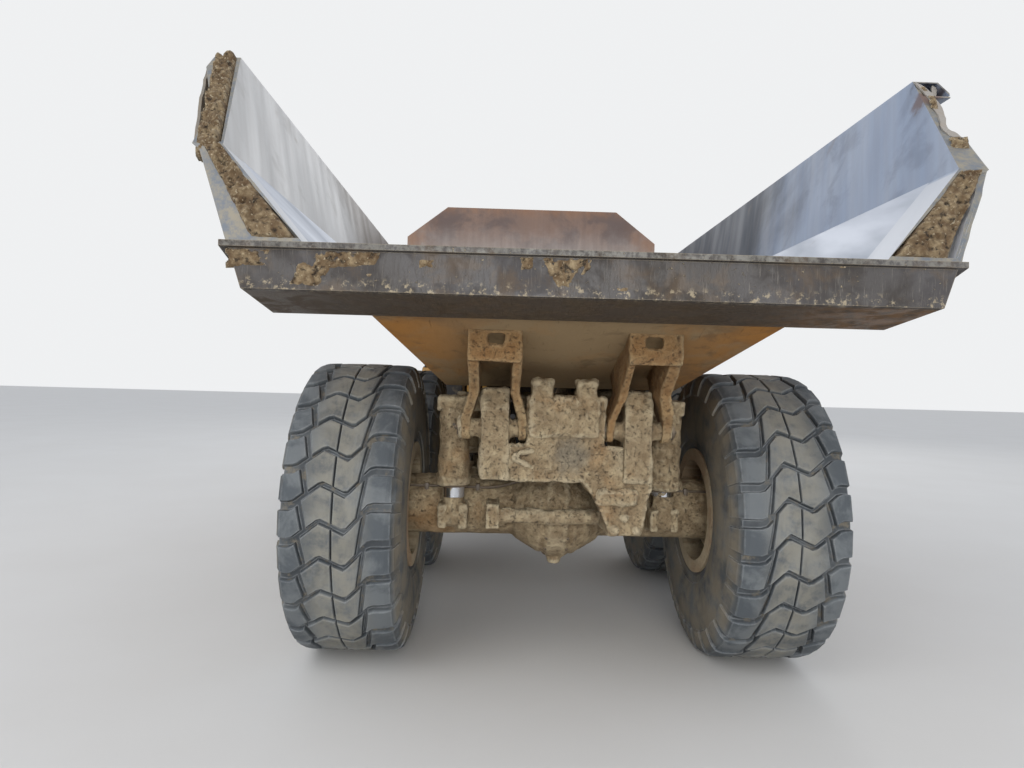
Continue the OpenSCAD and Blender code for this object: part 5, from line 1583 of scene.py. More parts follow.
@dataclass
class TornEnd:
    """What is left of the plate at the right wall's torn end."""

    # outer upper corner of the open box
    outer: Point = (1.71, -4.40, 3.02)
    # the tear's inner edge: distance across and height
    edge: tuple[tuple[float, float], ...] = ((1.603, 3.0), (1.604, 2.894), (1.552, 2.749), (1.514, 2.652), (1.524, 2.60), (1.54, 2.565))
    seed: int = 11

    def rake(self, height: float) -> float:
        """Where the wall's leant rear face is at a height."""
        return -5.011 + (height - 2.404) * 0.995

    def ribbon(self, fitting: Fitting, line: Sequence[Vector], wide: float, thick: float) -> None:
        """Adds a torn strip of plate that curls and narrows along a line.

        Args:
            fitting: The piece that takes it.
            line: The points it follows.
            wide: Its width at the root.
            thick: Its thickness.
        """
        rng = random.Random(self.seed)
        part = bmesh.new()
        rings = []
        for i, spot in enumerate(line):
            share = i / (len(line) - 1)
            ahead = (line[min(i + 1, len(line) - 1)] - line[max(i - 1, 0)]).normalized()
            across = ahead.cross(Vector((0.25, -1.0, 0.1))).normalized()
            across = Matrix.Rotation(0.9 * share + 0.3 * math.sin(6 * share), 3, ahead) @ across
            proud = ahead.cross(across)
            reach = wide * (1.0 - 0.55 * share) * rng.uniform(0.78, 1.12) / 2
            corners = ((-reach, -thick / 2), (reach * rng.uniform(0.8, 1.1), -thick / 2), (reach, thick / 2), (-reach, thick / 2))
            rings.append([part.verts.new(spot + across * a + proud * b) for a, b in corners])
        for one, two in zip(rings, rings[1:]):
            for k in range(4):
                m = (k + 1) % 4
                part.faces.new((one[k], one[m], two[m], two[k]))
        part.faces.new(rings[0][::-1])
        part.faces.new(rings[-1])
        bmesh.ops.recalc_face_normals(part, faces=part.faces)
        fitting.take(part)

    def build(self, steel: bpy.types.Material, mud: bpy.types.Material) -> None:
        """Builds the torn strips and the mud that clings to them."""
        torn = Fitting()
        inner = [Vector((x, self.rake(z) - 0.008, z)) for x, z in self.edge]
        wavy = [p + Vector((0.004 * (-1) ** i, 0.0, 0.0)) for i, p in enumerate(inner)]
        self.ribbon(torn, bent(wavy, 5), 0.042, 0.006)
        top = Vector(self.outer)
        self.ribbon(torn, bent([top + Vector((-0.01, -0.002, -0.02)), top + Vector((-0.03, -0.03, -0.09)), top + Vector((-0.05, -0.07, -0.12))], 7), 0.028, 0.006)
        torn.done("torn_plate", steel, "dump_body", "grey_steel")
        mesh = bmesh.new()
        for k, (x, y, z, wide, tall) in enumerate(((1.604, -4.46, 2.95, 0.04, 0.05), (1.566, -4.60, 2.83, 0.036, 0.09), (1.51, -4.86, 2.555, 0.08, 0.07))):
            corners = ((x - wide / 2, y, z + tall / 2), (x + wide / 2, y, z + tall / 2), (x + wide / 2, y - 0.03, z - tall / 2), (x - wide / 2, y - 0.03, z - tall / 2))
            MudPatch(corners, (0, -1, 0), 0.02, 30.0 + k, 0.7, 0.1, 0.03, 0.006).add(mesh)
        piece = add_piece("mud_on_tear", mesh, mud, "dump_body", smooth=True)


@dataclass
class FrontWallFoot:
    """Lowest stretch of the body's front wall, from the floor up to the CAD wall."""

    # height of the floor's underside, of the CAD wall's lower edge and of the fold
    low: float = 1.512
    high: float = 2.14
    fold: float = 2.404
    # outer half width at the underside and at the fold
    half_low: float = 0.648
    half_fold: float = 1.424
    # the wall's rear face: its place at the floor, and how it leans
    foot_y: float = -0.27
    floor_z: float = 1.54
    lean: float = 0.4717
    thick: float = 0.024
    rib: float = 0.070
    ribs: tuple[float, ...] = (-0.90, -0.32, 0.28, 0.86)

    def back(self, height: float) -> float:
        """Where the wall's rear face is at a height."""
        return self.foot_y + (height - self.floor_z) * self.lean

    def half(self, height: float) -> float:
        """The wall's half width at a height."""
        return self.half_low + (self.half_fold - self.half_low) * (height - self.low) / (self.fold - self.low)

    def build(self, rust: bpy.types.Material) -> None:
        """Builds the plate, its ribs and the weld along the floor."""
        wall = Fitting()
        wide, narrow = self.half(self.high), self.half(self.low)
        outline = [
            (-narrow, self.back(self.low), self.low), (narrow, self.back(self.low), self.low),
            (wide, self.back(self.high), self.high), (-wide, self.back(self.high), self.high),
        ]
        wall.plate(outline, (0.0, self.thick, 0.0), 0.003)
        for x in self.ribs:
            start = max(self.low, self.low + (abs(x + 0.02) - self.half_low + 0.03) * (self.fold - self.low) / (self.half_fold - self.half_low))
            face = self.thick - 0.002
            rib = [
                (x, self.back(start) + face, start), (x, self.back(start) + face + 0.012, start),
                (x, self.back(start + 0.06) + self.rib, start + 0.06), (x, self.back(self.high) + self.rib, self.high),
                (x, self.back(self.high) + face, self.high),
            ]
            wall.plate(rib, (0.04, 0.0, 0.0), 0.003)
        seam = self.back(self.floor_z)
        wall.tube([Vector((-0.64 + i * 0.058, seam - 0.002, self.floor_z + 0.004 * (i % 2))) for i in range(23)], 0.009, 8)
        wall.done("front_wall_foot", rust, "dump_body", "red_brown_steel")


@dataclass
class WheelTrim:
    """Nuts, hub cover bolts, valve and lock ring of one wheel."""

    disc_r: float = 0.258
    disc_out: float = 0.060
    disc_in: float = 0.020
    cover_r: float = 0.170
    cover_out: float = 0.165
    flange_out: float = 0.280

    def build(self, wheel: str, iron: bpy.types.Material, rim: bpy.types.Material) -> None:
        """Builds the trim of a wheel.

        Args:
            wheel: The wheel's two letters.
            iron: Finish of the nuts.
            rim: Finish of the rings.
        """
        low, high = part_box("rim_" + wheel)
        middle = (Vector(low) + Vector(high)) / 2
        tyre_low, tyre_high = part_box("tyre_" + wheel)
        middle.x = (tyre_low[0] + tyre_high[0]) / 2
        out = Vector((1.0 if wheel[1] == "r" else -1.0, 0.0, 0.0))
        nuts = Fitting()
        nuts.nut_ring(middle + out * self.disc_out, out, self.disc_r, 20, 0.017)
        nuts.nut_ring(middle + out * self.disc_in, -out, self.disc_r, 20, 0.013)
        nuts.nut_ring(middle + out * self.cover_out, out, self.cover_r, 12, 0.012)
        # Oil plugs on the hub's cover and the valve with its guard
        for angle in (0.6, 2.7):
            spot = middle + out * 0.2 + Vector((0.0, math.cos(angle), math.sin(angle))) * 0.09
            nuts.nut(spot - out * 0.004, out, 0.014)
        valve = middle + out * 0.09 + Vector((0.0, 0.22, 0.178))
        nuts.tube(bent([valve, valve + out * 0.05, valve + out * 0.10 + Vector((0, -0.008, -0.012))], 4), 0.006)
        nuts.turned(valve + out * 0.085 + Vector((0, -0.006, -0.009)), out, ((0, 0.008), (0.024, 0.008), (0.027, 0.005)), 10)
        nuts.done("wheel_nuts_" + wheel, iron, "wheel_" + wheel, "dark_iron")
        rings = Fitting()
        lock = ((0.0, -0.018), (0.007, -0.016), (0.009, -0.004), (0.007, 0.010), (0.0, 0.014), (-0.002, 0.0))
        rings.hoop(middle + out * self.flange_out, out, 0.330, lock, 96)
        rings.hoop(middle + out * (self.flange_out - 0.004), out, 0.297, ((0, -0.006), (0.008, -0.004), (0.008, 0.006), (0, 0.008)), 96)
        # Shallow rib round the hub's drum
        rings.hoop(middle + out * 0.11, out, 0.205, ((-0.01, 0.0), (-0.006, 0.008), (0.006, 0.008), (0.01, 0.0), (0.0, -0.004)), 64)
        rings.done("rim_rings_" + wheel, rim, "wheel_" + wheel, "rim_paint", smooth=True)


@dataclass
class FrameTrim:
    """Bolts, pin plates, clamps and fixed hoses of the frames and axles."""

    axles: tuple[tuple[str, str], ...] = (("axle_mid", "rear_frame"), ("axle_rear", "rear_frame"), ("axle_front", "front_frame"))
    axle_z: float = 0.81
    hinge: Point = (0.0, -4.17, 1.30)
    hinge_ends: tuple[float, float] = (0.194, 0.541)

    def axle_bolts(self, iron: bpy.types.Material) -> None:
        """Adds the bolts round each bowl's flange and the brake lines on their clips."""
        for node, body in self.axles:
            y = {"axle_mid": -1.90, "axle_rear": -3.62, "axle_front": 2.28}[node]
            bolts = Fitting()
            for sign in (-1, 1):
                bolts.nut_ring((sign * 0.055, y, self.axle_z), (sign, 0, 0), 0.271, 18, 0.009)
            bolts.nut_ring((0.0, y + (0.345 if node != "axle_front" else -0.345), self.axle_z), (0, 1 if node != "axle_front" else -1, 0), 0.09, 8, 0.010)
            # Brake line on clips along the axle's back
            for sign in (-1, 1):
                line = bent([
                    (sign * 0.20, y - 0.155, self.axle_z + 0.17), (sign * 0.36, y - 0.135, self.axle_z + 0.125),
                    (sign * 0.60, y - 0.125, self.axle_z + 0.125), (sign * 0.86, y - 0.125, self.axle_z + 0.125),
                ])
                bolts.tube(line, 0.008)
                for x in (0.45, 0.74):
                    bolts.block((sign * x - 0.012, y - 0.142, self.axle_z + 0.095), (sign * x + 0.012, y - 0.105, self.axle_z + 0.14), 0.003)
            bolts.done("bolts_" + node, iron, body, "dark_iron", smooth=True)

    def pins(self, iron: bpy.types.Material) -> None:
        """Adds the keeper plates on the ends of the body's hinge pins."""
        _, y, z = self.hinge
        for side in Side:
            keeper = Fitting()
            for x, way in ((self.hinge_ends[0], -1), (self.hinge_ends[1], 1)):
                start = (side.value * x, y, z)
                out = (side.value * way, 0, 0)
                keeper.turned(start, out, ((-0.004, 0.040), (0.006, 0.040), (0.009, 0.036)), 32)
                keeper.nut((side.value * (x + way * 0.007), y, z), out, 0.013)
            keeper.done("pin_keepers_" + side.name.lower(), iron, "rear_frame", "dark_iron", smooth=True)

    def hoses(self, rubber: bpy.types.Material, iron: bpy.types.Material) -> None:
        """Adds the fixed hoses along the rear frame, with their clamps."""
        hoses = Fitting()
        runs = (
            [(-0.27, -4.17, 1.36), (-0.262, -3.95, 1.40), (-0.262, -3.3, 1.42), (-0.262, -2.2, 1.42), (-0.262, -1.0, 1.40), (-0.255, -0.35, 1.30)],
            [(-0.235, -4.15, 1.33), (-0.236, -3.95, 1.37), (-0.236, -3.3, 1.39), (-0.236, -2.2, 1.39), (-0.236, -1.0, 1.37), (-0.235, -0.35, 1.28)],
            [(0.262, -3.9, 1.39), (0.262, -3.2, 1.41), (0.262, -2.0, 1.41), (0.262, -0.9, 1.39), (0.255, -0.35, 1.28)],
        )
        for k, run in enumerate(runs):
            hoses.tube(bent(run), 0.011 if k else 0.014)
        # From the frame down to the rear axles' brakes
        for y in (-3.62, -1.90):
            for side in Side:
                x = side.value
                hoses.tube(bent([
                    (x * 0.262, y - 0.34, 1.33), (x * 0.235, y - 0.36, 1.20), (x * 0.215, y - 0.31, 1.06), (x * 0.205, y - 0.18, 0.99),
                ]), 0.009)
        hoses.done("frame_hoses", rubber, "rear_frame", "dark_iron", smooth=True)
        clamps = Fitting()
        for y in (-3.75, -3.2, -2.6, -1.6, -0.9):
            for side in Side:
                clamps.block((side.value * 0.257 - 0.036, y - 0.014, 1.375), (side.value * 0.257 + 0.036, y + 0.014, 1.435), 0.004)
                clamps.nut((side.value * 0.257, y, 1.434), (0, 0, 1), 0.009)
        clamps.done("hose_clamps", iron, "rear_frame", "dark_iron")

    def cylinders(self, iron: bpy.types.Material) -> None:
        """Adds gland rings and grease nipples to the upright cylinders."""
        rings = Fitting()
        for y in (-3.87, -2.15):
            for side in Side:
                x = side.value * 0.58
                rings.hoop((x, y, 0.968), (0, 0, 1), 0.070, ((-0.012, -0.012), (-0.012, 0.006), (0.0, 0.010), (0.0, -0.012)), 32)
                rings.nut((x, y - 0.083, 1.30), (0, -1, 0), 0.010)
        rings.done("cylinder_glands", iron, "rear_frame", "dark_iron", smooth=True)

    def chrome(self, metal: bpy.types.Material) -> None:
        """Adds the bright bands of rod that show below the barrels."""
        rods = Fitting()
        for y, side, low in ((-3.87, -1, 0.896), (-3.87, 1, 0.925), (-2.15, -1, 0.90), (-2.15, 1, 0.90)):
            rods.turned((side * 0.58, y, low), (0, 0, 1), ((0, 0.056), (0.004, 0.060), (0.962 - low, 0.060), (0.964 - low, 0.056)), 40)
        rods.done("bright_rods", metal, "rear_frame", "chrome_rod", smooth=True)

    def build(self, iron: bpy.types.Material, rubber: bpy.types.Material, metal: bpy.types.Material) -> None:
        """Builds all of it."""
        self.axle_bolts(iron)
        self.pins(iron)
        self.hoses(rubber, iron)
        self.cylinders(iron)
        self.chrome(metal)


def tail_plate_ledge() -> Fitting:
    """Steelwork of the rear frame's tail that the mud has grown over."""
    under = Fitting()
    face = -4.22
    under.block((-0.182, face - 0.022, 1.264), (0.160, face + 0.01, 1.452), 0.004)
    under.block((-0.172, face - 0.022, 1.44), (-0.082, face + 0.01, 1.536), 0.004)
    under.block((0.052, face - 0.022, 1.44), (0.140, face + 0.01, 1.536), 0.004)
    under.tube(bent([(-0.16, face - 0.012, 1.19), (-0.235, face - 0.02, 1.175), (-0.25, face - 0.02, 1.145), (-0.16, face - 0.012, 1.11)]), 0.008)
    under.block((0.16, face - 0.03, 0.93), (0.36, face - 0.005, 1.0), 0.008)
    # Bolt heads on the leg's foot
    for x, z in ((0.25, 0.80), (0.36, 0.80), (0.30, 0.86)):
        under.nut((x, face - 0.002, z), (0, -1, 0), 0.018)
    return under


@dataclass
class CabTrim:
    """Seals, wipers, handles and lamps of the cab and its door."""

    half: float = 0.78
    back: float = 1.28
    front: float = 2.92
    floor: float = 1.72
    top: float = 3.36
    door_back: float = 1.75
    door_front: float = 2.59

    def seals(self, rubber: bpy.types.Material) -> None:
        """Adds the rubber round every fixed pane, outside and inside."""
        seals = Fitting()
        low, high = self.floor + 0.62, self.top - 0.11
        w = 0.022
        for y in (self.back - 0.006, self.front - 0.004):
            seals.frame((-self.half + 0.10, y, low - 0.01), (self.half - 0.10, y + 0.010, high + 0.01), 1, w)
        seals.frame((self.half - 0.004, self.back + 0.11, low - 0.01), (self.half + 0.006, self.front - 0.11, high + 0.01), 0, w)
        for a, b in ((self.back + 0.11, self.door_back - 0.07), (self.door_front + 0.07, self.front - 0.125)):
            seals.frame((-self.half - 0.006, a - 0.01, low - 0.01), (-self.half + 0.004, b + 0.01, high + 0.01), 0, w)
        seals.done("window_seals", rubber, "front_frame", "dark_iron")
        door = Fitting()
        door.frame(
            (-self.half - 0.006, self.door_back + 0.067, self.floor + 0.552),
            (-self.half + 0.004, self.door_front - 0.067, self.top - 0.157), 0, w,
        )
        door.done("door_seal", rubber, "cab_door", "dark_iron")

    def wipers(self, iron: bpy.types.Material) -> None:
        """Adds the windscreen's two wipers."""
        wipers = Fitting()
        y = self.front + 0.012
        low = self.floor + 0.60
        for x, lean in ((-0.42, 0.30), (0.26, 0.30)):
            wipers.turned((x, self.front - 0.002, low), (0, 1, 0), ((0, 0.03), (0.014, 0.03), (0.024, 0.018), (0.03, 0.012)), 20)
            arm = bent([(x, y + 0.008, low), (x + lean * 0.3, y + 0.016, low + 0.20), (x + lean * 0.62, y + 0.006, low + 0.42)], 6)
            wipers.tube(arm, 0.007, 8)
            tip = arm[-1]
            wipers.block((-0.006, -0.006, -0.30), (0.006, 0.004, 0.30), 0.002, Matrix.Translation(tip) @ Matrix.Rotation(0.42, 4, "Y"))
            wipers.block((-0.003, -0.011, -0.305), (0.003, -0.005, 0.305), 0.001, Matrix.Translation(tip) @ Matrix.Rotation(0.42, 4, "Y"))
        wipers.done("wipers", iron, "front_frame", "dark_iron", smooth=True)

    def handles(self, iron: bpy.types.Material) -> None:
        """Adds the door's handle with its lock, and the grab rail on the pillar."""
        latch = Fitting()
        x, y, z = -self.half, self.door_back + 0.09, self.floor + 0.47
        latch.block((x - 0.012, y - 0.035, z - 0.05), (x + 0.002, y + 0.10, z + 0.05), 0.006)
        latch.tube(bent([(x - 0.01, y - 0.01, z), (x - 0.045, y, z), (x - 0.048, y + 0.06, z), (x - 0.03, y + 0.085, z)], 6), 0.009)
        latch.turned((x - 0.010, y + 0.03, z - 0.034), (-1, 0, 0), ((0, 0.013), (0.006, 0.013), (0.008, 0.010)), 20)
        latch.tube(bent([(x + 0.01, y + 0.45, z - 0.1), (x - 0.05, y + 0.45, z - 0.08), (x - 0.05, y + 0.45, z + 0.02), (x + 0.01, y + 0.45, z + 0.04)], 6), 0.009)
        latch.done("door_handle", iron, "cab_door", "dark_iron", smooth=True)
        grab = Fitting()
        for side, y in ((-1, self.door_back - 0.12), (1, self.front - 0.06)):
            x = side * self.half
            grab.tube(bent([
                (x - side * 0.004, y, self.floor + 0.42), (x + side * 0.06, y, self.floor + 0.45), (x + side * 0.062, y, self.floor + 0.8),
                (x + side * 0.062, y, self.floor + 1.1), (x + side * 0.06, y, self.floor + 1.25), (x - side * 0.004, y, self.floor + 1.28),
            ], 6), 0.013)
            for z in (0.42, 1.28):
                grab.turned((x - side * 0.001, y, self.floor + z), (side, 0, 0), ((0, 0.03), (0.006, 0.03), (0.008, 0.026)), 20)
        grab.done("grab_rails", iron, "front_frame", "dark_iron", smooth=True)

    def work_lamp(self, body: Fitting, glass: Fitting, place: Point, way: Point) -> None:
        """Adds one work lamp: housing with fins, bracket and lens."""
        spot, out = Vector(place), Vector(way)
        body.turned(spot - out * 0.075, out, ((0, 0.030), (0.012, 0.042), (0.05, 0.055), (0.068, 0.058), (0.075, 0.055)), 28)
        for k in range(4):
            body.hoop(spot - out * (0.062 - 0.012 * k), out, 0.050 + 0.0015 * k, ((-0.002, 0), (-0.002, 0.009), (0.002, 0.009), (0.002, 0)), 28)
        body.block(tuple(spot - Vector((0.012, 0.045, 0.078))), tuple(spot + Vector((0.012, 0.0, -0.045))), 0.003)
        glass.turned(spot - out * 0.001, out, ((0, 0.051), (0.005, 0.050), (0.009, 0.043), (0.011, 0.02)), 28)

    def roof(self, iron: bpy.types.Material, glass: bpy.types.Material, amber: bpy.types.Material) -> None:
        """Adds the roof's work lamps, beacon and aerial."""
        body, lens = Fitting(), Fitting()
        z = self.top + 0.12
        for x in (-0.62, -0.34, 0.34, 0.62):
            self.work_lamp(body, lens, (x, self.front + 0.12, z + 0.03), (0.0, 1.0, 0.0))
        for x in (-0.6, 0.6):
            self.work_lamp(body, lens, (x, self.back + 0.05, z + 0.03), (0.0, -1.0, 0.0))
        # Bar that the front lamps stand on
        body.tube(bent([(-0.70, self.front + 0.06, z - 0.045), (0.0, self.front + 0.07, z - 0.035), (0.70, self.front + 0.06, z - 0.045)], 8), 0.014)
        for x in (-0.68, 0.0, 0.68):
            body.block((x - 0.02, self.front + 0.03, self.top + 0.04), (x + 0.02, self.front + 0.09, z - 0.03), 0.004)
        body.turned((-0.5, self.back + 0.35, self.top + 0.093), (0, 0, 1), ((0, 0.055), (0.02, 0.055), (0.03, 0.045), (0.04, 0.02)), 28)
        body.tube(bent([(0.45, self.back + 0.3, self.top + 0.09), (0.45, self.back + 0.29, self.top + 0.18), (0.45, self.back + 0.27, self.top + 0.25)], 4), 0.004, 8)
        body.turned((0.45, self.back + 0.3, self.top + 0.09), (0, 0, 1), ((0, 0.02), (0.015, 0.018), (0.03, 0.008)), 16)
        body.done("roof_lamps", iron, "front_frame", "dark_iron", smooth=True)
        lens.done("roof_lenses", glass, "front_frame", "window_glass", smooth=True)
        beacon = Fitting()
        beacon.turned((-0.5, self.back + 0.35, self.top + 0.13), (0, 0, 1), ((0, 0.042), (0.01, 0.045), (0.07, 0.041), (0.092, 0.030), (0.10, 0.012)), 32)
        for k in range(6):
            beacon.hoop((-0.5, self.back + 0.35, self.top + 0.15 + 0.01 * k), (0, 0, 1), 0.0425, ((-0.002, 0), (0, 0.003), (0.002, 0)), 32)
        beacon.done("beacon", amber, "front_frame", "yellow_paint", smooth=True)

    def build(self, coats: "Finishes") -> None:
        """Builds all of it."""
        iron = coats.get("dark_iron", DarkIron())
        rubber = coats.get("hose_rubber", DarkIron(base=srgb(34, 34, 35), dusting=0.0))
        self.seals(rubber)
        self.wipers(iron)
        self.handles(iron)
        self.roof(iron, coats.get("pane", Pane()), coats.get("amber_lens", Pane(tint=srgb(226, 122, 20))))


@dataclass
class HoodTrim:
    """Latches, lifting handles and louvre frames of the hood."""

    half: float = 0.62
    back: float = 2.94
    nose: float = 5.0

    def build(self, iron: bpy.types.Material) -> None:
        """Builds the trim."""
        trim = Fitting()
        for side in Side:
            x = side.value * self.half
            for y in (self.back + 0.25, self.back + 1.45):
                # Rubber draw latch: base, strap and hook
                trim.block((min(x, x + side.value * 0.012), y - 0.03, 1.50), (max(x, x + side.value * 0.012), y + 0.03, 1.60), 0.004)
                trim.tube(bent([(x + side.value * 0.012, y, 1.585), (x + side.value * 0.03, y, 1.54), (x + side.value * 0.012, y, 1.49)], 6), 0.010)
                for z in (1.515, 1.585):
                    trim.nut((x + side.value * 0.012, y, z), (side.value, 0, 0), 0.008)
            # Lifting handle low on the side
            trim.tube(bent([
                (x - side.value * 0.004, 4.45, 1.56), (x + side.value * 0.04, 4.46, 1.56), (x + side.value * 0.042, 4.56, 1.56),
                (x + side.value * 0.04, 4.66, 1.56), (x - side.value * 0.004, 4.67, 1.56),
            ], 6), 0.010)
            # Frame round the louvres, with its rivets
            a, b = (x - 0.004, x + 0.010) if side is Side.RIGHT else (x - 0.010, x + 0.004)
            trim.frame((a, self.back + 0.66, 1.725), (b, self.back + 1.50, 2.075), 0, 0.022)
            for k in range(9):
                y = self.back + 0.68 + k * 0.10
                for z in (1.736, 2.064):
                    trim.turned((x + side.value * 0.009, y, z), (side.value, 0, 0), ((0, 0.006), (0.003, 0.005), (0.004, 0.002)), 10)
        trim.done("hood_trim", iron, "hood", "dark_iron", smooth=True)


@dataclass
class NoseTrim:
    """Lamp rims and guards, bumper treads, bolts and turn lamps."""

    nose: float = 5.15
    lamp_x: float = 0.64
    lamp_w: float = 0.20
    lamp_z: float = 0.80
    lamp_h: float = 0.14

    def build(self, iron: bpy.types.Material, metal: bpy.types.Material, amber: bpy.types.Material) -> None:
        """Builds the trim of the bumper."""
        rims, guard, lamps = Fitting(), Fitting(), Fitting()
        z = self.lamp_z + self.lamp_h / 2
        for side in Side:
            for share in (0.27, 0.73):
                x = side.value * (self.lamp_x + self.lamp_w * share)
                ring = ((-0.010, 0.0), (-0.010, 0.007), (0.003, 0.007), (0.006, 0.002), (0.0, -0.003))
                rims.hoop((x, self.nose - 0.020, z), (0, 1, 0), 0.051, ring, 40)
                # Ribs of the lens
                for k in range(-3, 4):
                    reach = math.sqrt(0.042**2 - (k * 0.011) ** 2)
                    lamps.block((x + k * 0.011 - 0.0015, self.nose - 0.014, z - reach), (x + k * 0.011 + 0.0015, self.nose - 0.010, z + reach), 0.0006)
            a, b = sorted((side.value * (self.lamp_x - 0.015), side.value * (self.lamp_x + self.lamp_w + 0.015)))
            guard.frame((a, self.nose - 0.009, self.lamp_z - 0.015), (b, self.nose - 0.001, self.lamp_z + self.lamp_h + 0.015), 1, 0.016)
            for x in (a + 0.008, b - 0.008):
                for h in (self.lamp_z - 0.007, self.lamp_z + self.lamp_h + 0.007):
                    guard.nut((x, self.nose - 0.0105, h), (0, 1, 0), 0.005)
            # Bolts that hold the bumper to the rails
            for x in (0.385, 0.435):
                for h in (0.78, 0.86, 0.94):
                    guard.nut((side.value * x, self.nose - 0.0225, h), (0, 1, 0), 0.013)
        # Raised treads along the bumper's top ledge
        for k in range(24):
            x = -0.94 + k * 0.08
            for y in (self.nose - 0.075, self.nose - 0.115):
                turn = 0.7 if k % 2 else -0.7
                guard.block((-0.022, -0.004, 0), (0.022, 0.004, 0.003), 0.0012, Matrix.Translation((x, y, 1.0995)) @ Matrix.Rotation(turn, 4, "Z"))
        rims.done("lamp_rims", metal, "front_frame", "chrome_rod", smooth=True)
        guard.done("bumper_trim", iron, "front_frame", "dark_iron")
        lamps.done("lens_ribs", amber, "front_frame", "window_glass")


@dataclass
class StepTrim:
    """Gripping teeth on the steps and decks, flaps behind the front tyres."""

    front: float = 2.28
    inner: float = 0.79
    outer: float = 1.40
    deck: float = 1.72

    def treads(self, iron: bpy.types.Material) -> None:
        """Adds rows of teeth to each tread and bars to each deck."""
        teeth = Fitting()
        y = self.front + 1.06
        for side in Side:
            for z in (0.645, 0.965, 1.285):
                for row in range(4):
                    for k in range(11):
                        x = side.value * (0.91 + k * 0.042 + (0.02 if row % 2 else 0.0))
                        teeth.turned((x, y + 0.04 + row * 0.06, z - 0.001), (0, 0, 1), ((0, 0.013), (0.006, 0.010), (0.0065, 0.007)), 8)
            # Grip strips on the deck
            for row in range(7):
                depth = self.front - 0.50 + row * 0.17
                a, b = sorted((side.value * (self.inner + 0.07), side.value * (self.outer - 0.10)))
                teeth.block((a, depth, self.deck - 0.001), (b, depth + 0.03, self.deck + 0.004), 0.0015)
        teeth.done("grip_teeth", iron, "front_frame", "dark_iron")

    def flaps(self, rubber: bpy.types.Material, iron: bpy.types.Material) -> None:
        """Adds the rubber flaps that hang behind the front tyres."""
        for side in Side:
            part = bmesh.new()
            columns, rows = 12, 20
            grid = {}
            for i in range(columns + 1):
                for j in range(rows + 1):
                    u, v = i / columns, j / rows
                    x = side.value * (self.inner + 0.06 + u * (self.outer - self.inner - 0.10))
                    sway = 0.018 * math.sin(2.2 * u + 1.3 * side.value) * v + 0.05 * v * (2 - v) + 0.006 * math.sin(9 * u) * v
                    spot = Vector((x, self.front - 0.748 - sway, 1.648 - 0.62 * v))
                    for k, thick in enumerate((-0.005, 0.005)):
                        grid[i, j, k] = part.verts.new(spot + Vector((0, thick, 0)))
            for i in range(columns):
                for j in range(rows):
                    part.faces.new([grid[m, n, 0] for m, n in ((i, j), (i + 1, j), (i + 1, j + 1), (i, j + 1))])
                    part.faces.new([grid[m, n, 1] for m, n in ((i, j), (i, j + 1), (i + 1, j + 1), (i + 1, j))])
            for i in range(columns):
                part.faces.new([grid[i, 0, 0], grid[i, 0, 1], grid[i + 1, 0, 1], grid[i + 1, 0, 0]])
                part.faces.new([grid[i, rows, 1], grid[i, rows, 0], grid[i + 1, rows, 0], grid[i + 1, rows, 1]])
            for j in range(rows):
                part.faces.new([grid[0, j, 1], grid[0, j, 0], grid[0, j + 1, 0], grid[0, j + 1, 1]])
                part.faces.new([grid[columns, j, 0], grid[columns, j, 1], grid[columns, j + 1, 1], grid[columns, j + 1, 0]])
            bmesh.ops.recalc_face_normals(part, faces=part.faces)
            flap = Fitting()
            flap.take(part)
            flap.done("mud_flap_" + side.name.lower(), rubber, "front_frame", "dark_iron", smooth=True)
            bar = Fitting()
            a, b = sorted((side.value * (self.inner + 0.05), side.value * (self.outer - 0.03)))
            bar.block((a, self.front - 0.765, 1.61), (b, self.front - 0.753, 1.652), 0.003)
            for k in range(5):
                bar.nut((a + (b - a) * (k + 0.5) / 5, self.front - 0.764, 1.632), (0, -1, 0), 0.010)
            bar.done("flap_bar_" + side.name.lower(), iron, "front_frame", "dark_iron")

    def build(self, iron: bpy.types.Material, rubber: bpy.types.Material) -> None:
        """Builds both."""
        self.treads(iron)
        self.flaps(rubber, iron)


@dataclass
class ExhaustTrim:
    """Perforated shield, clamps and stays of the exhaust."""

    x: float = 0.90
    y: float = 2.97
    low: float = 1.86
    high: float = 2.68

    def build(self, metal: bpy.types.Material, iron: bpy.types.Material) -> None:
        """Builds the shield of bars and hoops round the muffler's front."""
        shield = Fitting()
        radius = 0.112
        for k in range(15):
            a = math.radians(-112 + k * 16)
            spot = Vector((self.x + radius * math.sin(a), self.y + radius * math.cos(a), 0))
            turn = Matrix.Translation(spot) @ Matrix.Rotation(-a, 4, "Z")
            shield.block((-0.011, -0.0015, self.low), (0.011, 0.0015, self.high), 0.001, turn)
        for z in (self.low, (self.low + self.high) / 2, self.high):
            arc = [Vector((self.x + 0.108 * math.sin(math.radians(g)), self.y + 0.108 * math.cos(math.radians(g)), z)) for g in range(-116, 117, 8)]
            shield.tube(arc, 0.006, 8)
        shield.done("exhaust_shield", metal, "front_frame", "red_brown_steel", smooth=True)
        clamps = Fitting()
        for z in (1.79, 2.79, 3.19):
            clamps.hoop((self.x, self.y, z), (0, 0, 1), 0.059, ((-0.014, 0), (-0.012, 0.006), (0.012, 0.006), (0.014, 0)), 40)
            clamps.block((self.x - 0.014, self.y + 0.06, z - 0.012), (self.x + 0.014, self.y + 0.088, z + 0.012), 0.003)
            clamps.nut((self.x + 0.013, self.y + 0.076, z), (1, 0, 0), 0.009)
        # Stays to the cab's pillar
        for z in (2.20, 2.86):
            clamps.tube(bent([(self.x - 0.05, self.y - 0.04, z), (self.x - 0.10, self.y - 0.09, z), (self.x - 0.125, self.y - 0.15, z)], 4), 0.010)
        clamps.done("exhaust_clamps", iron, "front_frame", "dark_iron", smooth=True)


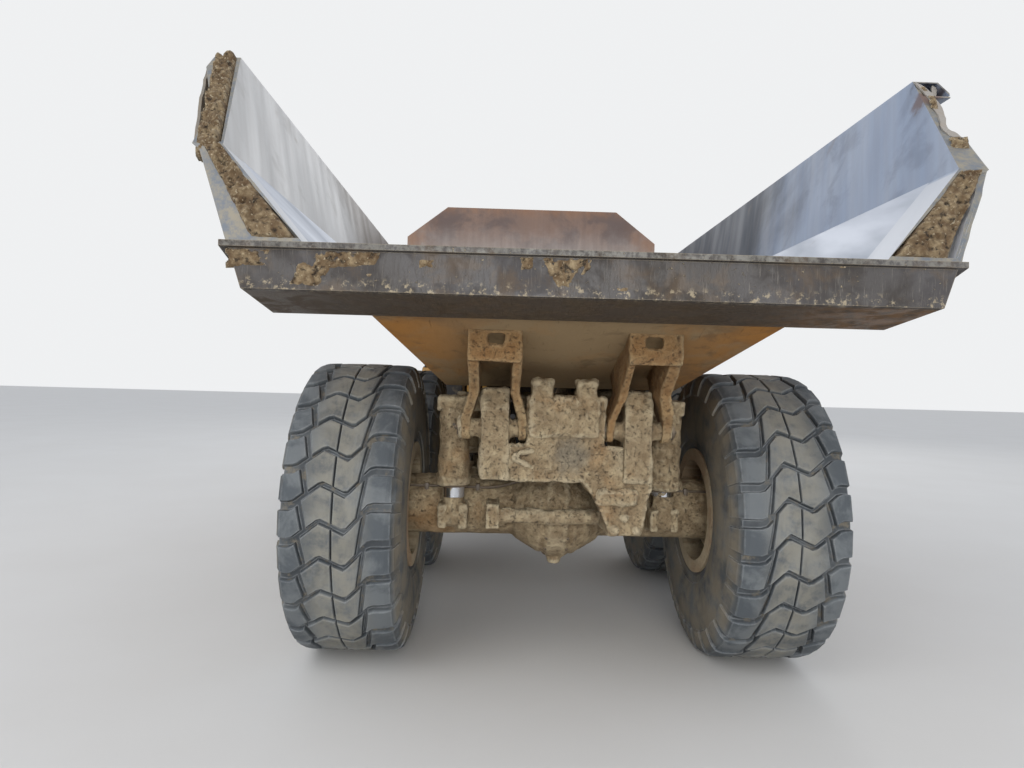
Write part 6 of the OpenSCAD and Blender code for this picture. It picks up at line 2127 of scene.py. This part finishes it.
@dataclass
class MirrorTrim:
    """Glass and rims of the four mirrors."""

    x: float = 1.33
    y: float = 2.84
    glasses: tuple[tuple[float, float], ...] = ((2.77, 3.15), (2.54, 2.73))

    def build(self, metal: bpy.types.Material, iron: bpy.types.Material) -> None:
        """Builds the mirrors' faces, which look back."""
        glass, rims = Fitting(), Fitting()
        for side in Side:
            x = side.value * self.x
            for low, high in self.glasses:
                outline = [
                    (x + a * 0.082, self.y - 0.003, (low + high) / 2 + b * ((high - low) / 2 - 0.018))
                    for a, b in ((-1, -0.82), (-0.8, -1), (0.8, -1), (1, -0.82), (1, 0.82), (0.8, 1), (-0.8, 1), (-1, 0.82))
                ]
                glass.plate(outline, (0, 0.0045, 0), 0.0008)
                ring = [Vector(p) for p in outline]
                rims.tube([*ring, ring[0], ring[1]], 0.0045, 8)
        glass.done("mirror_glass", metal, "front_frame", "chrome_rod")
        rims.done("mirror_rims", iron, "front_frame", "dark_iron", smooth=True)


@dataclass
class DriverSeat:
    """Seat with crowned cushions, sewn channels, piping and its base."""

    back: float = 1.73
    floor: float = 1.765

    def pad(self, name: str, size: Point, crown: float, channels: Sequence[float], place: Matrix, cloth: bpy.types.Material) -> bpy.types.Object:
        """Makes one cushion.

        Args:
            name: The piece's name.
            size: Width, depth and thickness.
            crown: How far its face swells.
            channels: Where the sewn channels run, as shares of its depth.
            place: Where it goes.
            cloth: Its finish.

        Returns:
            The cushion.
        """
        part = bmesh.new()
        bmesh.ops.create_cube(part, size=2.0)
        bmesh.ops.subdivide_edges(part, edges=part.edges[:], cuts=23, use_grid_fill=True)
        for vertex in part.verts:
            u, v, w = vertex.co
            # Rounded box, then pulled in between its corners
            length = (abs(u) ** 6 + abs(v) ** 6 + abs(w) ** 3.2) ** (1 / 6)
            u, v, w = (c / max(length, 1.0) for c in (u, v, w))
            waist = 1.0 - 0.035 * (1 - abs(v) ** 4) * (abs(u) > 0.8) - 0.03 * (1 - abs(u) ** 4) * (abs(v) > 0.8)
            swell = (1 - u * u) * (1 - v * v)
            sewn = sum(math.exp(-(((v - c) / 0.035) ** 2)) for c in channels)
            sewn += 1.2 * math.exp(-(((abs(u) - 0.62) / 0.03) ** 2))
            creases = 0.0016 * bumpy(Vector((u, v, w)), 0.3, size[0] * 9, 3)
            rise = (crown * swell - 0.010 * min(sewn, 1.2) * (0.35 + swell)) * ease(w, 0.1, 0.6) + creases
            vertex.co = Vector((u * waist * size[0] / 2, v * waist * size[1] / 2, w * size[2] / 2 + rise))
        fitting = Fitting()
        fitting.take(part, place)
        piece = fitting.done(name, cloth, "front_frame", "seat_fabric", smooth=True)
        return piece

    def piping(self, fitting: Fitting, size: Point, place: Matrix) -> None:
        """Adds the piped seam round a cushion."""
        line = []
        for i in range(65):
            a = 2 * math.pi * i / 64
            c, d = math.cos(a), math.sin(a)
            scale = 1 / (abs(c) ** 6 + abs(d) ** 6) ** (1 / 6)
            line.append(place @ Vector((c * scale * size[0] * 0.492, d * scale * size[1] * 0.492, size[2] * 0.22)))
        fitting.tube(line, 0.0045, 8)

    def build(self, cloth: bpy.types.Material, iron: bpy.types.Material, trim: bpy.types.Material) -> None:
        """Builds the seat, which stands for the CAD's plain one."""
        y, z = self.back, self.floor
        cushion = Matrix.Translation((0, y + 0.27, z + 0.405))
        lean = math.atan2(0.12, 0.66)
        rest = Matrix.Translation((0, y + 0.005, z + 0.80)) @ Matrix.Rotation(math.pi / 2 + lean, 4, "X")
        head = Matrix.Translation((0, y - 0.050, z + 1.105)) @ Matrix.Rotation(math.pi / 2 + lean, 4, "X")
        seam = Fitting()
        self.piping(seam, (0.50, 0.50, 0.13), cushion)
        self.piping(seam, (0.48, 0.56, 0.11), rest)
        seam.done("seat_piping", trim, "front_frame", "seat_fabric", smooth=True)
        first = self.pad("seat_cushion", (0.50, 0.50, 0.125), 0.016, (-0.35, 0.0, 0.35), cushion, cloth)
        self.pad("seat_back_pad", (0.48, 0.56, 0.105), 0.014, (-0.45, -0.1, 0.25), rest, cloth)
        self.pad("seat_headrest", (0.28, 0.10, 0.085), 0.008, (), head, cloth)
        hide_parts("cab_seat")
        base = Fitting()
        for k in range(6):
            base.block((-0.165 + 0.006 * (k % 2), y + 0.02, z + 0.05 + k * 0.042), (0.165 - 0.006 * (k % 2), y + 0.40, z + 0.088 + k * 0.042), 0.012)
        base.block((-0.178, y + 0.002, z + 0.001), (0.178, y + 0.418, z + 0.05), 0.008)
        base.block((-0.20, y + 0.01, z + 0.305), (0.20, y + 0.46, z + 0.338), 0.008)
        for side in (-1, 1):
            base.tube(bent([(side * 0.215, y + 0.02, z + 0.33), (side * 0.225, y - 0.005, z + 0.52), (side * 0.225, y - 0.02, z + 0.62)], 6), 0.012)
            base.block((side * 0.232 - 0.022, y + 0.02, z + 0.60), (side * 0.232 + 0.022, y + 0.34, z + 0.645), 0.014)
        base.done("seat_base", iron, "front_frame", "dark_iron", smooth=True)


@dataclass
class Dressing:
    """Gives every CAD node that stays its own finish."""

    frame: dict
    finishes: Finishes
    table: dict[str, tuple[str, object]] = field(default_factory=dict)

    def fill(self) -> None:
        """Lists the finish of each node."""
        caked = ("caked_frame", CakedFrame())
        for node in (
            "rear_frame", "rear_rails", "front_rails", "axle_mid", "axle_rear", "rear_suspension",
            "suspension_links", "driveshafts", "hitch", "front_frame", "axle_front", "front_suspension",
            "hoist_barrels", "steer_barrel_l", "steer_barrel_r", "body_brackets",
        ):
            self.table[node] = caked
        for node in ("bumper", "fenders", "steps", "cab_shell", "cab_roof", "fuel_tank", "hydraulic_tank", "hood", "cab_door"):
            self.table[node] = ("dusty_paint", DustyPaint())
        for node in ("engine", "gearbox", "radiator", "grille", "mirrors", "handrails", "cab_console", "exhaust", "cab_mounts"):
            self.table[node] = ("dark_iron", DarkIron())
        for node in ("hoist_stages", "hoist_rods", "steer_rod_l", "steer_rod_r"):
            self.table[node] = ("chrome_rod", ChromeRod())
        for node in ("cab_glass", "door_glass", "headlamps"):
            self.table[node] = ("pane", Pane())
        self.table["cab_seat"] = ("seat_cloth", SeatCloth())
        self.table["body_floor"] = ("body_floor", OrangeUnderside())
        self.table["body_sides"] = ("body_sides", ScouredSteel())
        self.table["body_front"] = ("rusty_guard", RustyGuard())
        self.table["tail_beam"] = ("black_beam", BlackBeam())
        rim = CakedFrame(mud=srgb(162, 140, 110), damp=srgb(112, 90, 66), paint=srgb(150, 98, 60), bare=0.46, relief=0.008)
        for wheel in ("fl", "fr", "ml", "mr", "rl", "rr"):
            self.table["rim_" + wheel] = ("dusty_rim", rim)

    def apply(self) -> None:
        """Puts the finishes on the nodes' material slots."""
        self.fill()
        for node, (name, recipe) in self.table.items():
            material = self.finishes.get(name, recipe)
            slots = self.frame["nodes"][node].material_slots
            for slot in slots:
                slot.material = material
            LOG.info("%s wears %s", node, name)


@dataclass
class Studio:
    """Camera, soft lights and the pale floor."""

    eye: Point = (-0.3435, -7.5607, 1.5255)
    yaw: float = math.radians(1.10)
    pitch: float = math.radians(-0.01)
    roll: float = math.radians(1.53)
    lens: float = 23.476
    floor_half: float = 60.0

    def camera(self) -> None:
        """Places the camera where the photographer stood."""
        forward = Vector(
            (
                math.sin(self.yaw) * math.cos(self.pitch),
                math.cos(self.yaw) * math.cos(self.pitch),
                math.sin(self.pitch),
            )
        )
        right = Vector((math.cos(self.yaw), -math.sin(self.yaw), 0.0))
        up = right.cross(forward)
        turned = right * math.cos(self.roll) + up * math.sin(self.roll)
        raised = up * math.cos(self.roll) - right * math.sin(self.roll)
        data = bpy.data.cameras.new("camera")
        data.lens = self.lens
        data.sensor_width = 36.0
        data.clip_end = 300.0
        seat = bpy.data.objects.new("camera", data)
        matrix = Matrix((turned, raised, -forward)).transposed().to_4x4()
        matrix.translation = Vector(self.eye)
        seat.matrix_world = matrix
        bpy.context.scene.collection.objects.link(seat)
        bpy.context.scene.camera = seat

    def lamp(self, name: str, place: Point, target: Point, size: float, watts: float, spread: float = 180.0) -> None:
        """Adds a square area lamp that looks at a point; spread is in degrees."""
        data = bpy.data.lights.new(name, "AREA")
        data.energy = watts
        data.size = size
        data.spread = math.radians(spread)
        lamp = bpy.data.objects.new(name, data)
        lamp.location = place
        lamp.rotation_euler = (Vector(target) - Vector(place)).to_track_quat("-Z", "Y").to_euler()
        bpy.context.scene.collection.objects.link(lamp)

    def world(self) -> None:
        """Pale sky for what is seen and reflected, a soft one for light."""
        world = bpy.data.worlds.new("world")
        bpy.context.scene.world = world
        world.use_nodes = True
        board = Board(world.node_tree)
        path = board.put("LightPath").outputs
        seen = board.sums("MAXIMUM", path["Is Camera Ray"], board.sums("MAXIMUM", path["Is Glossy Ray"], path["Is Transmission Ray"]))
        background = world.node_tree.nodes["Background"]
        colour = board.blend(seen, (0.86, 0.91, 1.0, 1.0), (0.93, 0.94, 0.95, 1.0))
        board.tree.links.new(colour, background.inputs["Color"])
        board.tree.links.new(board.blend_value(seen, 0.86, 0.93), background.inputs["Strength"])

    def floor(self) -> None:
        """Adds the pale floor."""
        mesh = bmesh.new()
        bmesh.ops.create_grid(mesh, x_segments=4, y_segments=4, size=self.floor_half)
        data = bpy.data.meshes.new("floor")
        mesh.to_mesh(data)
        mesh.free()
        ground = bpy.data.objects.new("floor", data)
        bpy.context.scene.collection.objects.link(ground)
        material = bpy.data.materials.new("floor")
        material.use_nodes = True
        board = Board(material.node_tree)
        place = board.put("TexCoord").outputs["Object"]
        tone = board.blend(board.noise(place, 0.8, 5.0), srgb(206, 203, 198), srgb(214, 212, 208))
        shader = material.node_tree.nodes["Principled BSDF"]
        board.tree.links.new(tone, shader.inputs["Base Color"])
        shader.inputs["Roughness"].default_value = 0.95
        data.materials.append(material)

    def build(self) -> None:
        """Sets up everything that isn't the truck."""
        self.camera()
        self.world()
        self.floor()
        self.lamp("key", (-6.0, -12.0, 9.0), (0.0, -3.5, 1.5), 8.0, 520.0)
        self.lamp("low_fill", (0.5, -15.0, 3.4), (0.0, -4.0, 1.6), 5.0, 95.0, 60.0)
        self.lamp("far", (4.0, 12.0, 10.0), (0.0, 2.0, 2.0), 8.0, 420.0)


def coats_of_mud() -> Iterable[MudCoat]:
    """Lists the CAD nodes that wear a coat of mud in real relief."""
    hinge = ((-0.36, -4.17, 1.30), 0.12), ((0.36, -4.17, 1.30), 0.12)
    yield MudCoat("rear_frame", "rear_frame", 0.010, 0.018, 0.3, 0.6, 1.0, (), tail_plate_ledge())
    yield MudCoat("rear_rails", "rear_frame", 0.014, 0.016, 0.15, 0.6, 2.0, hinge)
    yield MudCoat("axle_rear", "rear_frame", 0.012, 0.014, 0.15, 0.6, 3.0)
    yield MudCoat("axle_mid", "rear_frame", 0.018, 0.014, 0.15, 0.8, 4.0)
    yield MudCoat("rear_suspension", "rear_frame", 0.009, 0.014, 0.3, 0.7, 5.0)
    yield MudCoat("suspension_links", "rear_frame", 0.010, 0.012, 0.2, 0.7, 6.0)
    yield MudCoat("body_brackets", "dump_body", 0.009, 0.010, 0.1, 0.7, 7.0, hinge)


def dress(frame: dict, coats: Finishes) -> None:
    """Adds every piece that the CAD leaves to the looks.

    Args:
        frame: The loaded frame.
        coats: The store of finishes.
    """
    mud = coats.get("dried_mud", DriedMud())
    caked = coats.get("caked_frame", CakedFrame())
    iron = coats.get("dark_iron", DarkIron())
    dirty = coats.get("dirty_iron", DarkIron(base=srgb(84, 72, 58), dust=srgb(150, 133, 108), dusting=0.3))
    rubber = coats.get("hose_rubber", DarkIron(base=srgb(34, 34, 35), dusting=0.0))
    chrome = coats.get("chrome_rod", ChromeRod())
    pane = coats.get("pane", Pane())
    bracket = coats.get("caked_bracket", CakedFrame(mud=srgb(158, 133, 96), damp=srgb(122, 92, 58), pale=srgb(184, 162, 124), bare=0.52))
    for coat in coats_of_mud():
        coat.build(frame, bracket if coat.node == "body_brackets" else caked, "dusty_frame")
    TailMud().build(mud)
    crusted = coats.get("crusted_steel", DarkIron(base=srgb(104, 99, 92), dust=srgb(132, 116, 92), dusting=0.25))
    WallEnds().build(coats.get("body_sides", ScouredSteel()), crusted)
    TornEnd().build(coats.get("torn_steel", DarkIron(base=srgb(138, 132, 124), dust=srgb(142, 116, 92))), mud)
    for i, wheel in enumerate(("fl", "fr", "ml", "mr", "rl", "rr")):
        Tyre().build("tyre_" + wheel, coats, 0.37 * i)
        WheelTrim().build(wheel, dirty, coats.get("dusty_rim", CakedFrame()))
    FrontWallFoot().build(coats.get("rusty_guard", RustyGuard()))
    FrameTrim().build(dirty, rubber, chrome)
    CabTrim().build(coats)
    HoodTrim().build(iron)
    NoseTrim().build(iron, chrome, pane)
    StepTrim().build(iron, rubber)
    ExhaustTrim().build(coats.get("shield_rust", RustyGuard()), iron)
    MirrorTrim().build(chrome, iron)
    cloth = coats.get("seat_cloth", SeatCloth())
    DriverSeat().build(cloth, iron, coats.get("seat_piping", SeatCloth(cloth=srgb(30, 30, 32), lint=srgb(70, 66, 60))))


def main() -> None:
    """Builds the dressed truck and the studio."""
    logging.basicConfig(level=logging.INFO, format="%(message)s")
    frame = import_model()
    bpy.context.scene.view_settings.view_transform = "Standard"
    Studio().build()
    coats = Finishes()
    Dressing(frame, coats).apply()
    dress(frame, coats)


if __name__ == "__main__":
    main()
